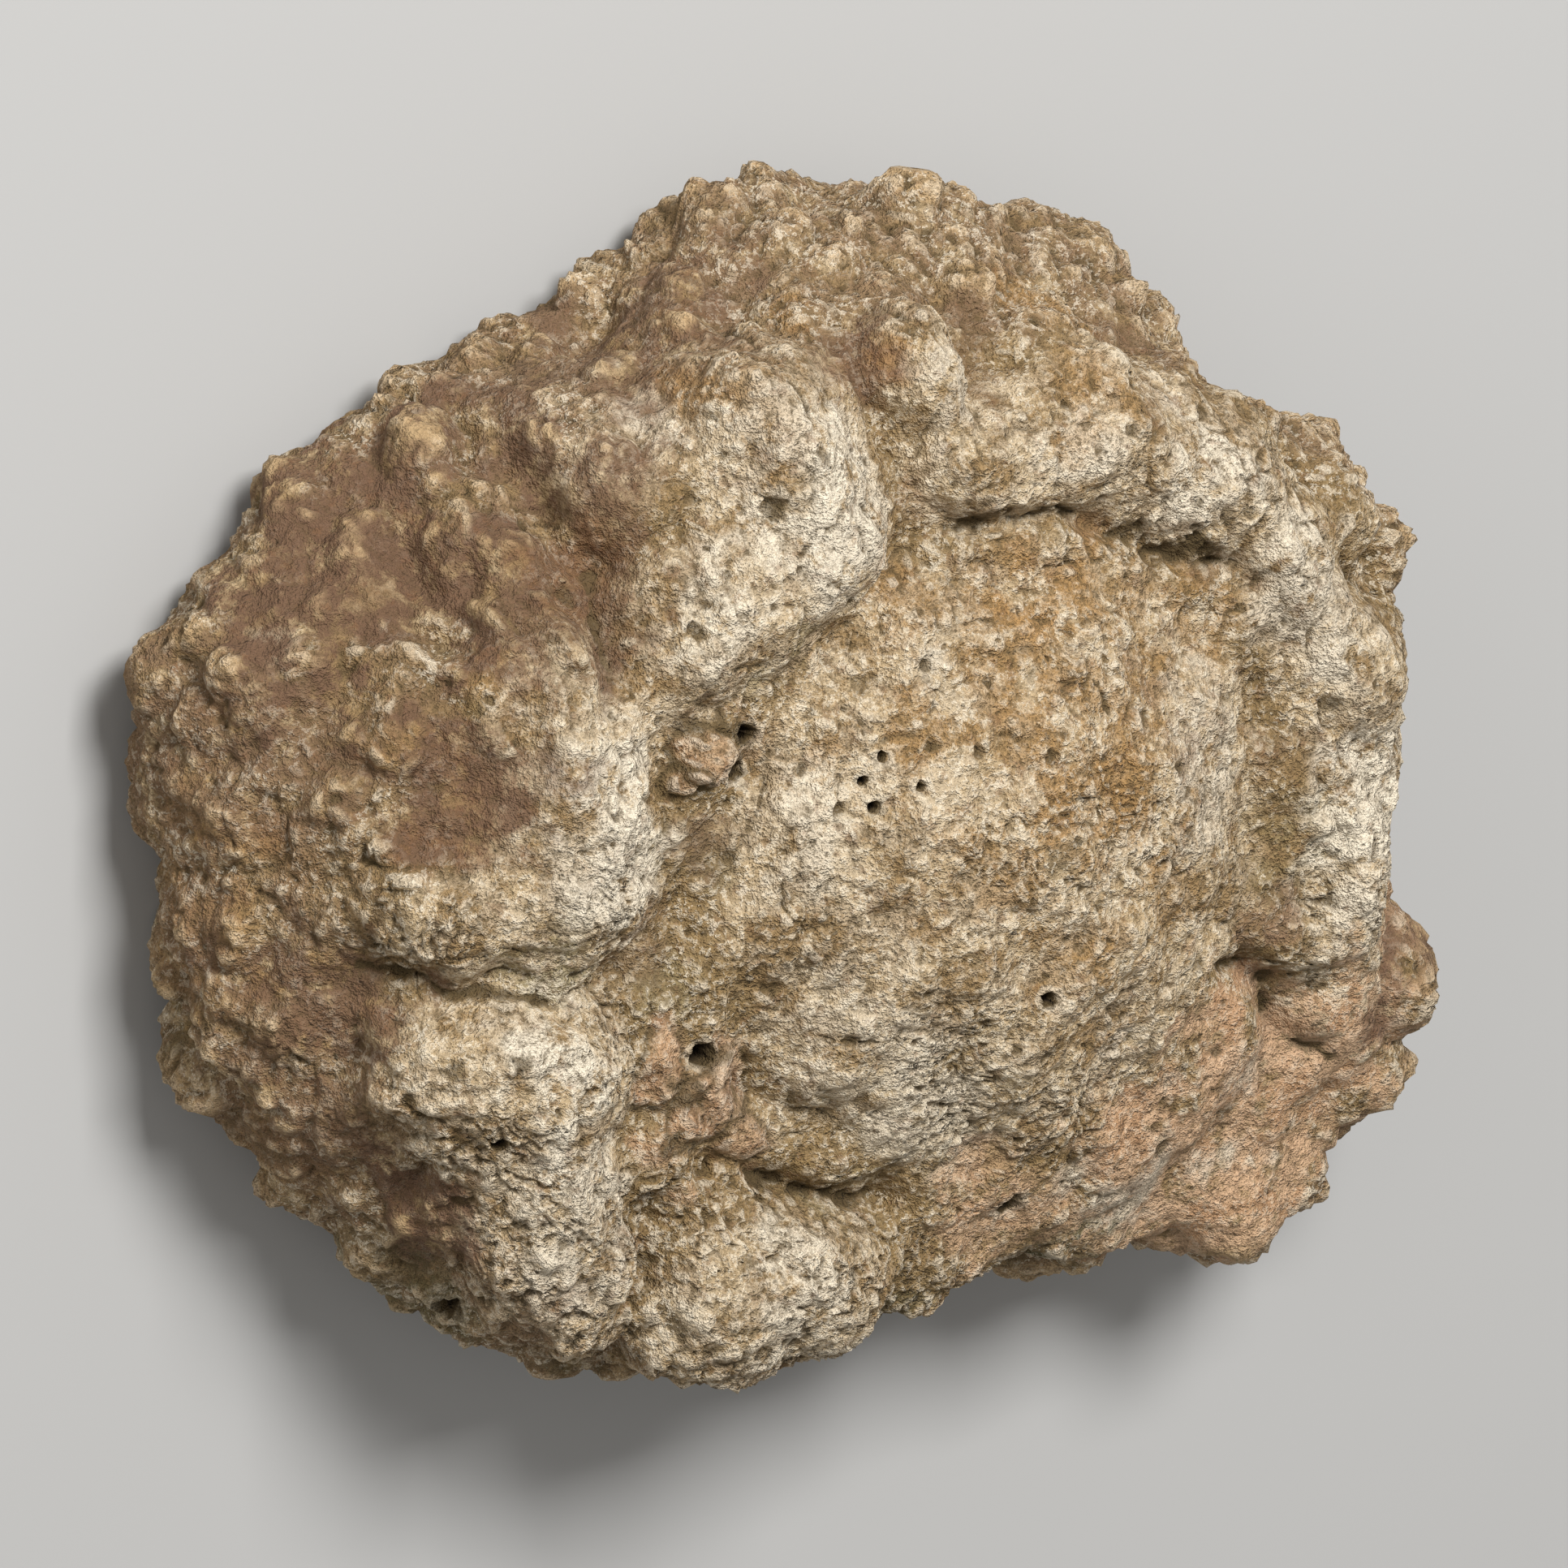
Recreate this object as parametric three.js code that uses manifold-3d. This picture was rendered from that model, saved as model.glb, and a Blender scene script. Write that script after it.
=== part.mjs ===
// One bony plate (osteoderm) from the armour of an extinct glyptodont, turned to stone.
// Millimetres, +Z up. The plate lies on its smooth inner face, with the ornamented outer face up.
// The origin is on the resting plane, under the middle of the round central figure.
import * as THREE from 'three';
import Module from 'manifold-3d';
import { mergeVertices } from 'three/addons/utils/BufferGeometryUtils.js';

// ---- driving dimensions -------------------------------------------------------------------

const bodyCentre = [-5, 2, 8];   // the surface is laid out round this point
const grooveFloor = 12.6;        // height of the floor of the grooves between the figures
const soleDepth = 0.8;           // how far the rough underside reaches below the resting plane
const edgeSharpness = 14;        // how crisply the walls meet each other and the faces
const bevelRise = 50;            // degrees: slope of the bevel round the outer face
const footRise = -45;            // degrees: slope of the bevel round the inner face
const footBevel = 2.2;
const footFlare = 5;             // below the centre, the walls flare out over this height only
const surfaceDetail = 21;        // subdivisions of the icosahedron that the surface is laid on
const shares = { face: 0.42, sole: 0.16 };   // parts of the facets on the faces; walls get the rest
const shareDrum = { halfX: 27, halfY: 23, top: 5.5, foot: -8.8 };   // drum the shares are set on
const formBlend = 3.5;           // the higher, the sharper the meeting of two figures
const creaseRadius = 0.6;        // creases are rounded to about the size of a facet
const plateBox = 120;            // side of the block that the underside is trimmed with
const boneColour = 0xb59a76;

// The sutures: azimuth of the outward normal in degrees from +X, lean back from vertical in
// degrees, reach from the centre at the centre's height, and width of the bevel at the face.
const walls = [
  { azimuth: 6, lean: -4, reach: 26.7, bevel: 1.4 },
  { azimuth: 52, lean: 6, reach: 24.0, bevel: 1.8 },
  { azimuth: 82, lean: 24, reach: 21.0, bevel: 2.0 },
  { azimuth: 116, lean: 22, reach: 19.8, bevel: 2.2 },
  { azimuth: 131, lean: 24, reach: 19.8, bevel: 3.0 },
  { azimuth: 178, lean: 20, reach: 24.4, bevel: 4.2 },
  { azimuth: 212, lean: 12, reach: 24.1, bevel: 3.4 },
  { azimuth: 238, lean: 6, reach: 23.8, bevel: 2.2 },
  { azimuth: 277, lean: -4, reach: 21.8, bevel: 1.6 },
  { azimuth: 325, lean: -3, reach: 32.4, bevel: 1.2 },
];

// The worn corner, where the face falls away in a smooth ramp.
const ramp = { azimuth: 315, rise: 77, through: [8, -8, 12.6] };

// The figures of the outer face: the route of the crest in plan, half the width, height over
// the groove floor, and steepness of the flank.
const figures = [
  { name: 'dome', route: [[0.4, 0.4]], half: 12.8, rise: 5.2, flank: 0.92 },
  { name: 'north boss', route: [[-9.6, 15.2], [-8.8, 11.8]], half: 5.5, rise: 3.4, flank: 2.1 },
  { name: 'north boss tail', route: [[-10, 11.4], [-13.8, 8.6]], half: 4.8, rise: 2.9, flank: 2.2 },
  { name: 'north-west boss', route: [[-15.9, 17.2], [-15.4, 15.2]], half: 4.0, rise: 1.9, flank: 1.5 },
  { name: 'west boss', route: [[-17.9, 5.4], [-17.6, -0.2]], half: 5.6, rise: 3.1, flank: 2.3 },
  { name: 'west boss toe', route: [[-18.4, 0.2], [-21.9, -1]], half: 3.3, rise: 2.5, flank: 1.5 },
  { name: 'south-west boss', route: [[-18, -6.9], [-20, -6.4]], half: 5.3, rise: 3.0, flank: 2.1 },
  { name: 'south-west ridge', route: [[-17.8, -9.5], [-16.6, -16.4]], half: 4.8, rise: 2.4, flank: 2.0 },
  { name: 'south boss', route: [[-9.8, -16.2], [-6.1, -16]], half: 5.1, rise: 2.4, flank: 2.0 },
  { name: 'east boss', route: [[16.7, 5.2], [16.8, -3.6]], half: 3.8, rise: 2.7, flank: 1.6 },
  { name: 'east boss foot', route: [[16.8, -3.6], [18, -7.6]], half: 3.9, rise: 1.7, flank: 1.6 },
  {
    name: 'north-east ridge',
    route: [[-2.2, 14.7], [3.5, 15.5], [9, 13.6], [12.8, 9.9], [15, 6.2]],
    half: 3.5,
    rise: 3.0,
    flank: 1.4,
  },
  { name: 'rim knob', route: [[-3.8, 17.7]], half: 2.3, rise: 2.8, flank: 1.2 },
  { name: 'corner swell', route: [[17.2, 12.2]], half: 3.1, rise: 1.2, flank: 1.4 },
];

// Bone and clay that partly fill the furrows between the figures, with the same values.
const fillings = [
  { name: 'apron', route: [[4, -10.5], [11.5, -8]], half: 5.5, rise: 1.3, flank: 1.6 },
  { name: 'east furrow', route: [[11.5, 8], [13.6, 3], [13.4, -3]], half: 3.8, rise: 1.9, flank: 1.2 },
  { name: 'north furrow', route: [[-2, 12], [4, 12.2], [9.5, 10]], half: 3.2, rise: 1.9, flank: 1.2 },
  {
    name: 'west furrow',
    route: [[-6.2, 12.4], [-9, 8.4], [-11.6, 4.4], [-13, 0], [-12.4, -6]],
    half: 3.4,
    rise: 1.5,
    flank: 1.2,
  },
  {
    name: 'south furrow',
    route: [[-13, -10.4], [-8, -12], [-2, -12.6]],
    half: 3.2,
    rise: 0.9,
    flank: 1.2,
  },
];

const faceForms = [...figures, ...fillings];

// The grooves cut between the figures: route in plan, half width and depth.
const grooves = [
  { route: [[-25.5, -3.4], [-20.6, -3.5], [-15.5, -3.8]], half: 1.2, depth: 0.6 },
  { route: [[-18.3, 14.6], [-17.2, 12.8], [-16.7, 11.4], [-16.9, 6.8]], half: 0.9, depth: 1.1 },
  { route: [[-3.4, 12.6], [1.8, 12.9], [6.5, 11.3], [10.7, 9.8]], half: 0.6, depth: 0.7 },
  { route: [[-11, -10.9], [-6.9, -12.3], [-3, -13.1]], half: 1.0, depth: 1.5 },
  { route: [[-13.4, -12.6], [-12.7, -19]], half: 0.9, depth: 1.0 },
  { route: [[12, -4.8], [16.6, -8.8]], half: 0.8, depth: 0.8 },
  { route: [[-11.2, 4], [-13.1, 0], [-12.7, -6.2]], half: 1.2, depth: 0.8 },
];

// Broad hollows in the walls and in the underside: centre, radius and depth.
const hollows = [
  { at: [4, -20, 7], radius: 7, depth: 2.3 },
  { at: [21.5, 1.5, 8], radius: 7, depth: 1.3 },
  { at: [14.2, 17, 7], radius: 3.4, depth: 2.8 },
  { at: [10.9, 19, 10], radius: 2.6, depth: 1.3 },
  { at: [-14.5, 22, 5], radius: 6.5, depth: 2.8 },
  { at: [-24, 11.5, 11], radius: 5, depth: 1.4 },
  { at: [-27.8, 10.8, 1.4], radius: 2.7, depth: 1.9 },
  { at: [-30, -1, 2], radius: 3.6, depth: 1.5 },
  { at: [12.2, -17.8, 9], radius: 3, depth: 0.8 },
  { at: [-3.2, -20, 9], radius: 3.2, depth: 1.9 },
  { at: [-3.7, 24, 5], radius: 2, depth: 1.0 },
  { at: [-6.4, -19.9, 12.6], radius: 3.4, depth: 1.1 },
  { at: [-13, 5, 0], radius: 6.5, depth: 1.5 },
  { at: [7.5, 9, 0], radius: 5, depth: 1.3 },
  { at: [8, -9, 0], radius: 5.5, depth: 1.4 },
];

// Single lumps on the sutures and the rim: place, radius and height.
const knobs = [
  { at: [-30.8, 7.4, 3], radius: 2.8, height: 1.8 },
  { at: [-27, -9.8, 2.5], radius: 3.2, height: 1.0 },
  { at: [-7.8, 23.6, 4], radius: 1.9, height: 1.5 },
  { at: [-0.3, 23.4, 6], radius: 1.6, height: 1.2 },
  { at: [8, 22, 5], radius: 3.2, height: 1.3 },
  { at: [11.8, 17.4, 8], radius: 1.6, height: 0.6 },
  { at: [22.8, -6.6, 9.5], radius: 3.0, height: 2.8 },
  { at: [21.8, -10.2, 9], radius: 3.0, height: 1.3 },
  { at: [18.6, 13.4, 8.5], radius: 2.6, height: 0.9 },
  { at: [19, 10.2, 10.5], radius: 1.9, height: 1.3 },
  { at: [17, -16.4, 8], radius: 4.0, height: 1.1 },
  { at: [9.5, -18.8, 4], radius: 3.0, height: 2.1 },
  { at: [-19.2, 11.6, 10.6], radius: 1.5, height: 0.6 },
  { at: [-21.3, 7.6, 11.8], radius: 1.4, height: 0.5 },
  { at: [-23.8, 5.1, 11.4], radius: 1.2, height: 0.5 },
  { at: [-13.3, 17.7, 13.6], radius: 1.1, height: 0.45 },
  { at: [-11.3, 19.5, 7.9], radius: 1.4, height: 0.6 },
  { at: [-7.5, 20.2, 11.1], radius: 1.3, height: 0.5 },
];

// The small nodules that cover the sutures all round.
const nodules = { count: 620, radius: 1.35, height: 0.55, scatter: 1.0 };

// Slow swell of the whole surface.
const swell = { height: 0.16, pace: 0.9 };

// Vessel openings: place of the mouth, direction into the bone, radius and depth.
const openings = [
  { at: [-11.1, 4.4, 12.9], into: [0.3, -0.2, -1], radius: 0.55, depth: 2.2 },
  { at: [-11.6, -6.6, 12.6], into: [0.3, 0.1, -1], radius: 0.5, depth: 2.0 },
  { at: [0.9, -4.7, 17.2], into: [0, 0.2, -1], radius: 0.42, depth: 1.6 },
  { at: [3, -13.7, 12.3], into: [-0.2, 0.3, -1], radius: 0.42, depth: 1.8 },
  { at: [-18.3, 14.6, 11.2], into: [0.5, -0.3, -1], radius: 0.45, depth: 2.0 },
  { at: [-18.4, -16.9, 8], into: [0.5, 0.8, 0], radius: 0.55, depth: 2.4 },
  { at: [-5.5, 8.5, 0], into: [0, 0, 1], radius: 0.8, depth: 2.5 },
  { at: [2, -6.5, 0], into: [0.2, 0, 1], radius: 0.6, depth: 2.2 },
  { at: [-12.5, -6, 0], into: [0, 0.2, 1], radius: 0.7, depth: 2.4 },
  { at: [11, 3.5, 0], into: [-0.2, 0, 1], radius: 0.5, depth: 2.0 },
];

// ---- small helpers ------------------------------------------------------------------------

function smoothStep(low, high, value) {
  const t = Math.min(Math.max((value - low) / (high - low), 0), 1);
  return t * t * (3 - 2 * t);
}

// A repeatable number from 0 to 1 for item i, different for each salt.
function jitter(i, salt) {
  const wave = Math.sin(i * 12.9898 + salt * 78.233) * 43758.5453;
  return wave - Math.floor(wave);
}

function directionFrom(azimuth, rise) {
  const a = THREE.MathUtils.degToRad(azimuth);
  const t = THREE.MathUtils.degToRad(rise);
  return [Math.cos(a) * Math.cos(t), Math.sin(a) * Math.cos(t), Math.sin(t)];
}

function distance(a, b) {
  return Math.hypot(a[0] - b[0], a[1] - b[1], a[2] - b[2]);
}

function segmentDistance(x, y, start, end) {
  const dx = end[0] - start[0];
  const dy = end[1] - start[1];
  const along = ((x - start[0]) * dx + (y - start[1]) * dy) / (dx * dx + dy * dy);
  const t = Math.min(Math.max(along, 0), 1);
  return Math.hypot(x - start[0] - t * dx, y - start[1] - t * dy);
}

function routeDistance(x, y, route) {
  if (route.length === 1) {
    return Math.hypot(x - route[0][0], y - route[0][1]);
  }
  let nearest = Infinity;
  for (let i = 1; i < route.length; i += 1) {
    nearest = Math.min(nearest, segmentDistance(x, y, route[i - 1], route[i]));
  }
  return nearest;
}

// ---- the plain body -----------------------------------------------------------------------

// Each plane is a normal and its distance from the body's centre.
function bodyPlanes() {
  const planes = [];
  const faceRise = grooveFloor - bodyCentre[2];
  for (const wall of walls) {
    const slope = Math.tan(THREE.MathUtils.degToRad(wall.lean));
    const bevelAngle = THREE.MathUtils.degToRad(bevelRise);
    const footAngle = THREE.MathUtils.degToRad(footRise);
    const bevelReach = wall.reach - faceRise * slope - wall.bevel;
    const footReach = wall.reach + footFlare * slope - footBevel;
    planes.push({
      normal: directionFrom(wall.azimuth, wall.lean),
      reach: wall.reach * Math.cos(THREE.MathUtils.degToRad(wall.lean)),
    });
    planes.push({
      normal: directionFrom(wall.azimuth, bevelRise),
      reach: bevelReach * Math.cos(bevelAngle) + faceRise * Math.sin(bevelAngle),
    });
    planes.push({
      normal: directionFrom(wall.azimuth, footRise),
      reach: footReach * Math.cos(footAngle) - bodyCentre[2] * Math.sin(footAngle),
    });
  }
  planes.push({ normal: [0, 0, 1], reach: faceRise });
  planes.push({ normal: [0, 0, -1], reach: bodyCentre[2] + soleDepth });
  const rampNormal = directionFrom(ramp.azimuth, ramp.rise);
  let rampReach = 0;
  for (let k = 0; k < 3; k += 1) {
    rampReach += rampNormal[k] * (ramp.through[k] - bodyCentre[k]);
  }
  planes.push({ normal: rampNormal, reach: rampReach });
  return planes;
}

const planes = bodyPlanes();

// Point and outward normal where a ray from the centre leaves the rounded polyhedron.
function bodyPoint(direction) {
  let total = 0;
  const normal = [0, 0, 0];
  for (const plane of planes) {
    const [nx, ny, nz] = plane.normal;
    const ratio = (nx * direction[0] + ny * direction[1] + nz * direction[2]) / plane.reach;
    if (ratio > 0) {
      total += ratio ** edgeSharpness;
      const weight = ratio ** (edgeSharpness - 1) / plane.reach;
      normal[0] += weight * nx;
      normal[1] += weight * ny;
      normal[2] += weight * nz;
    }
  }
  const reach = total ** (-1 / edgeSharpness);
  const length = Math.hypot(...normal);
  return {
    point: bodyCentre.map((c, k) => c + direction[k] * reach),
    normal: normal.map((n) => n / length),
  };
}

// Turns a point on the unit sphere into a ray from the centre, so that equal areas of the sphere
// land on the outer face, the walls and the inner face in the shares given above.
function spreadDirection([x, y, z]) {
  const faceStart = 1 - 2 * shares.face;
  const soleStart = 2 * shares.sole - 1;
  let radius = 1;
  let height = shareDrum.top;
  if (z > faceStart) {
    radius = Math.sqrt((1 - z) / (1 - faceStart));
  } else if (z < soleStart) {
    radius = Math.sqrt((1 + z) / (1 + soleStart));
    height = shareDrum.foot;
  } else {
    const climb = (z - soleStart) / (faceStart - soleStart);
    height = shareDrum.foot + climb * (shareDrum.top - shareDrum.foot);
  }
  const ring = Math.hypot(x, y) || 1;
  const ray = [(shareDrum.halfX * radius * x) / ring, (shareDrum.halfY * radius * y) / ring, height];
  const length = Math.hypot(...ray);
  return ray.map((r) => r / length);
}

// ---- relief -------------------------------------------------------------------------------

// Height of the figures over the groove floor: the tallest one wins, with rounded meetings.
function figureHeight(x, y) {
  let total = 0;
  for (const form of faceForms) {
    const away = routeDistance(x, y, form.route) / form.half;
    if (away < 1) {
      total += (form.rise * (1 - away * away) ** form.flank) ** formBlend;
    }
  }
  return total ** (1 / formBlend);
}

// The middle of a facet and six places round it, in plan.
function ringPlaces() {
  const places = [[0, 0]];
  for (let i = 0; i < 6; i += 1) {
    const turn = (i * Math.PI) / 3;
    places.push([creaseRadius * Math.cos(turn), creaseRadius * Math.sin(turn)]);
  }
  return places;
}

const ringOffsets = ringPlaces();

function grooveDepth(x, y) {
  let depth = 0;
  for (const groove of grooves) {
    const away = routeDistance(x, y, groove.route) / groove.half;
    depth += groove.depth * Math.exp(-away * away);
  }
  return depth;
}

function hollowDepth(point) {
  let depth = 0;
  for (const hollow of hollows) {
    const away = distance(point, hollow.at) / hollow.radius;
    depth += hollow.depth * Math.exp(-1.6 * away * away);
  }
  return depth;
}

function knobHeight(point) {
  let height = 0;
  for (const knob of knobs) {
    const away = distance(point, knob.at) / knob.radius;
    height += knob.height * Math.max(0, 1 - away * away);
  }
  return height;
}

// Nodules sit on a golden spiral over the sutures, each one moved and sized a little apart.
function noduleList() {
  const list = [];
  const goldenAngle = Math.PI * (3 - Math.sqrt(5));
  for (let i = 0; i < nodules.count; i += 1) {
    const height = 1 - (2 * (i + 0.5)) / nodules.count;
    const ring = Math.sqrt(1 - height * height);
    const turn = i * goldenAngle;
    const seat = bodyPoint(spreadDirection([Math.cos(turn) * ring, Math.sin(turn) * ring, height]));
    if (seat.normal[2] < 0.8 && seat.normal[2] > -0.8 && seat.point[2] > 0.3) {
      list.push({
        at: seat.point.map((p, k) => p + (jitter(i, k + 1) - 0.5) * 2 * nodules.scatter),
        radius: nodules.radius * (0.75 + 0.6 * jitter(i, 4)),
        height: nodules.height * (0.5 + jitter(i, 5)),
      });
    }
  }
  return list;
}

const sutureNodules = noduleList();

function noduleHeight(point) {
  let height = 0;
  for (const nodule of sutureNodules) {
    const away = distance(point, nodule.at) / nodule.radius;
    height = Math.max(height, nodule.height * (1 - away * away));
  }
  return height;
}

function swellHeight([x, y, z]) {
  const waves = Math.sin(swell.pace * x + 1.3 * Math.sin(0.7 * y + 0.5 * z))
    + Math.sin(1.1 * swell.pace * y + 1.7 * Math.sin(0.6 * z + 0.8 * x))
    + Math.sin(1.3 * swell.pace * z + 1.1 * Math.sin(0.9 * x - 0.4 * y));
  return swell.height * waves;
}

// Figures less grooves, averaged over a small ring so that creases stay even on the facets.
function faceRelief(x, y, onFace, nearFace) {
  let total = 0;
  for (const [dx, dy] of ringOffsets) {
    total += onFace * figureHeight(x + dx, y + dy) - nearFace * grooveDepth(x + dx, y + dy);
  }
  return total / ringOffsets.length;
}

// How far the real surface stands proud of the plain body.
function reliefAt(point, normal) {
  const [x, y] = point;
  const onFace = smoothStep(0.4, 0.8, normal[2]);
  const nearFace = smoothStep(-0.1, 0.4, normal[2]);
  const onSuture = smoothStep(0.92, 0.6, normal[2]) * smoothStep(-0.9, -0.5, normal[2]);
  return faceRelief(x, y, onFace, nearFace)
    - hollowDepth(point)
    + knobHeight(point)
    + onSuture * noduleHeight(point)
    + swellHeight(point);
}

function plateGeometry() {
  const geometry = plainSolid(new THREE.IcosahedronGeometry(1, surfaceDetail));
  const position = geometry.attributes.position;
  for (let i = 0; i < position.count; i += 1) {
    const unit = [position.getX(i), position.getY(i), position.getZ(i)];
    const { point, normal } = bodyPoint(spreadDirection(unit));
    const relief = reliefAt(point, normal);
    position.setXYZ(
      i,
      point[0] + normal[0] * relief,
      point[1] + normal[1] * relief,
      point[2] + normal[2] * relief,
    );
  }
  return geometry;
}

// ---- solids -------------------------------------------------------------------------------

// Leaves only the positions, with shared vertices merged.
function plainSolid(geometry) {
  geometry.deleteAttribute('normal');
  geometry.deleteAttribute('uv');
  return mergeVertices(geometry);
}

const wasm = await Module();
wasm.setup();

function toManifold(geometry) {
  const mesh = new wasm.Mesh({
    numProp: 3,
    vertProperties: new Float32Array(geometry.attributes.position.array),
    triVerts: new Uint32Array(geometry.index.array),
  });
  return new wasm.Manifold(mesh);
}

function fromManifold(solid) {
  const mesh = solid.getMesh();
  const geometry = new THREE.BufferGeometry();
  geometry.setAttribute('position', new THREE.BufferAttribute(mesh.vertProperties, 3));
  geometry.setIndex(new THREE.BufferAttribute(mesh.triVerts, 1));
  geometry.computeVertexNormals();
  return geometry;
}

// A tapered plug that drills one vessel opening, narrow end inside the bone.
function openingPlug(opening) {
  const sides = 8;
  const taper = 0.55;
  const mouth = opening.radius * (2 - taper);
  const plug = new THREE.CylinderGeometry(mouth, opening.radius * taper, 2 * opening.depth, sides);
  const outward = new THREE.Vector3(...opening.into).normalize().negate();
  plug.applyQuaternion(new THREE.Quaternion().setFromUnitVectors(new THREE.Vector3(0, 1, 0), outward));
  plug.translate(...opening.at);
  return plainSolid(plug);
}

function osteodermGeometry() {
  const block = new THREE.BoxGeometry(plateBox, plateBox, plateBox);
  block.translate(0, 0, plateBox / 2);
  let solid = toManifold(plateGeometry()).intersect(toManifold(plainSolid(block)));
  for (const opening of openings) {
    solid = solid.subtract(toManifold(openingPlug(opening)));
  }
  return fromManifold(solid);
}

// ---- scene graph --------------------------------------------------------------------------

const fossilBone = new THREE.MeshStandardMaterial({
  name: 'fossil bone',
  color: boneColour,
  roughness: 0.93,
  metalness: 0,
});

const osteoderm = new THREE.Mesh(osteodermGeometry(), fossilBone);
osteoderm.name = 'osteoderm';

const model = new THREE.Group();
model.name = 'fossil osteoderm';
model.add(osteoderm);

export default model;
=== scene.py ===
import bmesh
import bpy
import math
import numpy as np
from mathutils import Matrix, Vector


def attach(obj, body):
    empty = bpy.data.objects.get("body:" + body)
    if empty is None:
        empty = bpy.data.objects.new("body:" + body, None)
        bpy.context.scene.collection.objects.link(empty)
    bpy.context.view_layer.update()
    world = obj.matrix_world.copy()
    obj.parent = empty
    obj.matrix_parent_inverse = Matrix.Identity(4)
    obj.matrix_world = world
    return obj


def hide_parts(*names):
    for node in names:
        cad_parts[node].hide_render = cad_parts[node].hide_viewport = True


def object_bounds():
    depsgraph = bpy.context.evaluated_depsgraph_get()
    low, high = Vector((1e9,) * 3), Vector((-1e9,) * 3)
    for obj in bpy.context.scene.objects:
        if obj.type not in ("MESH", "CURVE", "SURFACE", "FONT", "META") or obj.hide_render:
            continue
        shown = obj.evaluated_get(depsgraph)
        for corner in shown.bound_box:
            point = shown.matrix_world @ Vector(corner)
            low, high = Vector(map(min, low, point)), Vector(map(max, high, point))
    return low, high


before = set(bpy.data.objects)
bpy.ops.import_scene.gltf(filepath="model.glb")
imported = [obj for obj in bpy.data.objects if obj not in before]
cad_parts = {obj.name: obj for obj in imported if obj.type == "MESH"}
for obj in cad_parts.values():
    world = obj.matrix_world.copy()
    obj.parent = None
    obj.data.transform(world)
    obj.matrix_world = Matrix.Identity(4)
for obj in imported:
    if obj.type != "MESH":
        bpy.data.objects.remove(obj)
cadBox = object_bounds()          # the solids' own box, before anything is dressed
mm = 0.001                    # sizes of the plate are given in millimetres, Blender works in metres
print("frame loaded, box", [round(v, 4) for v in (cadBox[1] - cadBox[0])])


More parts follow.
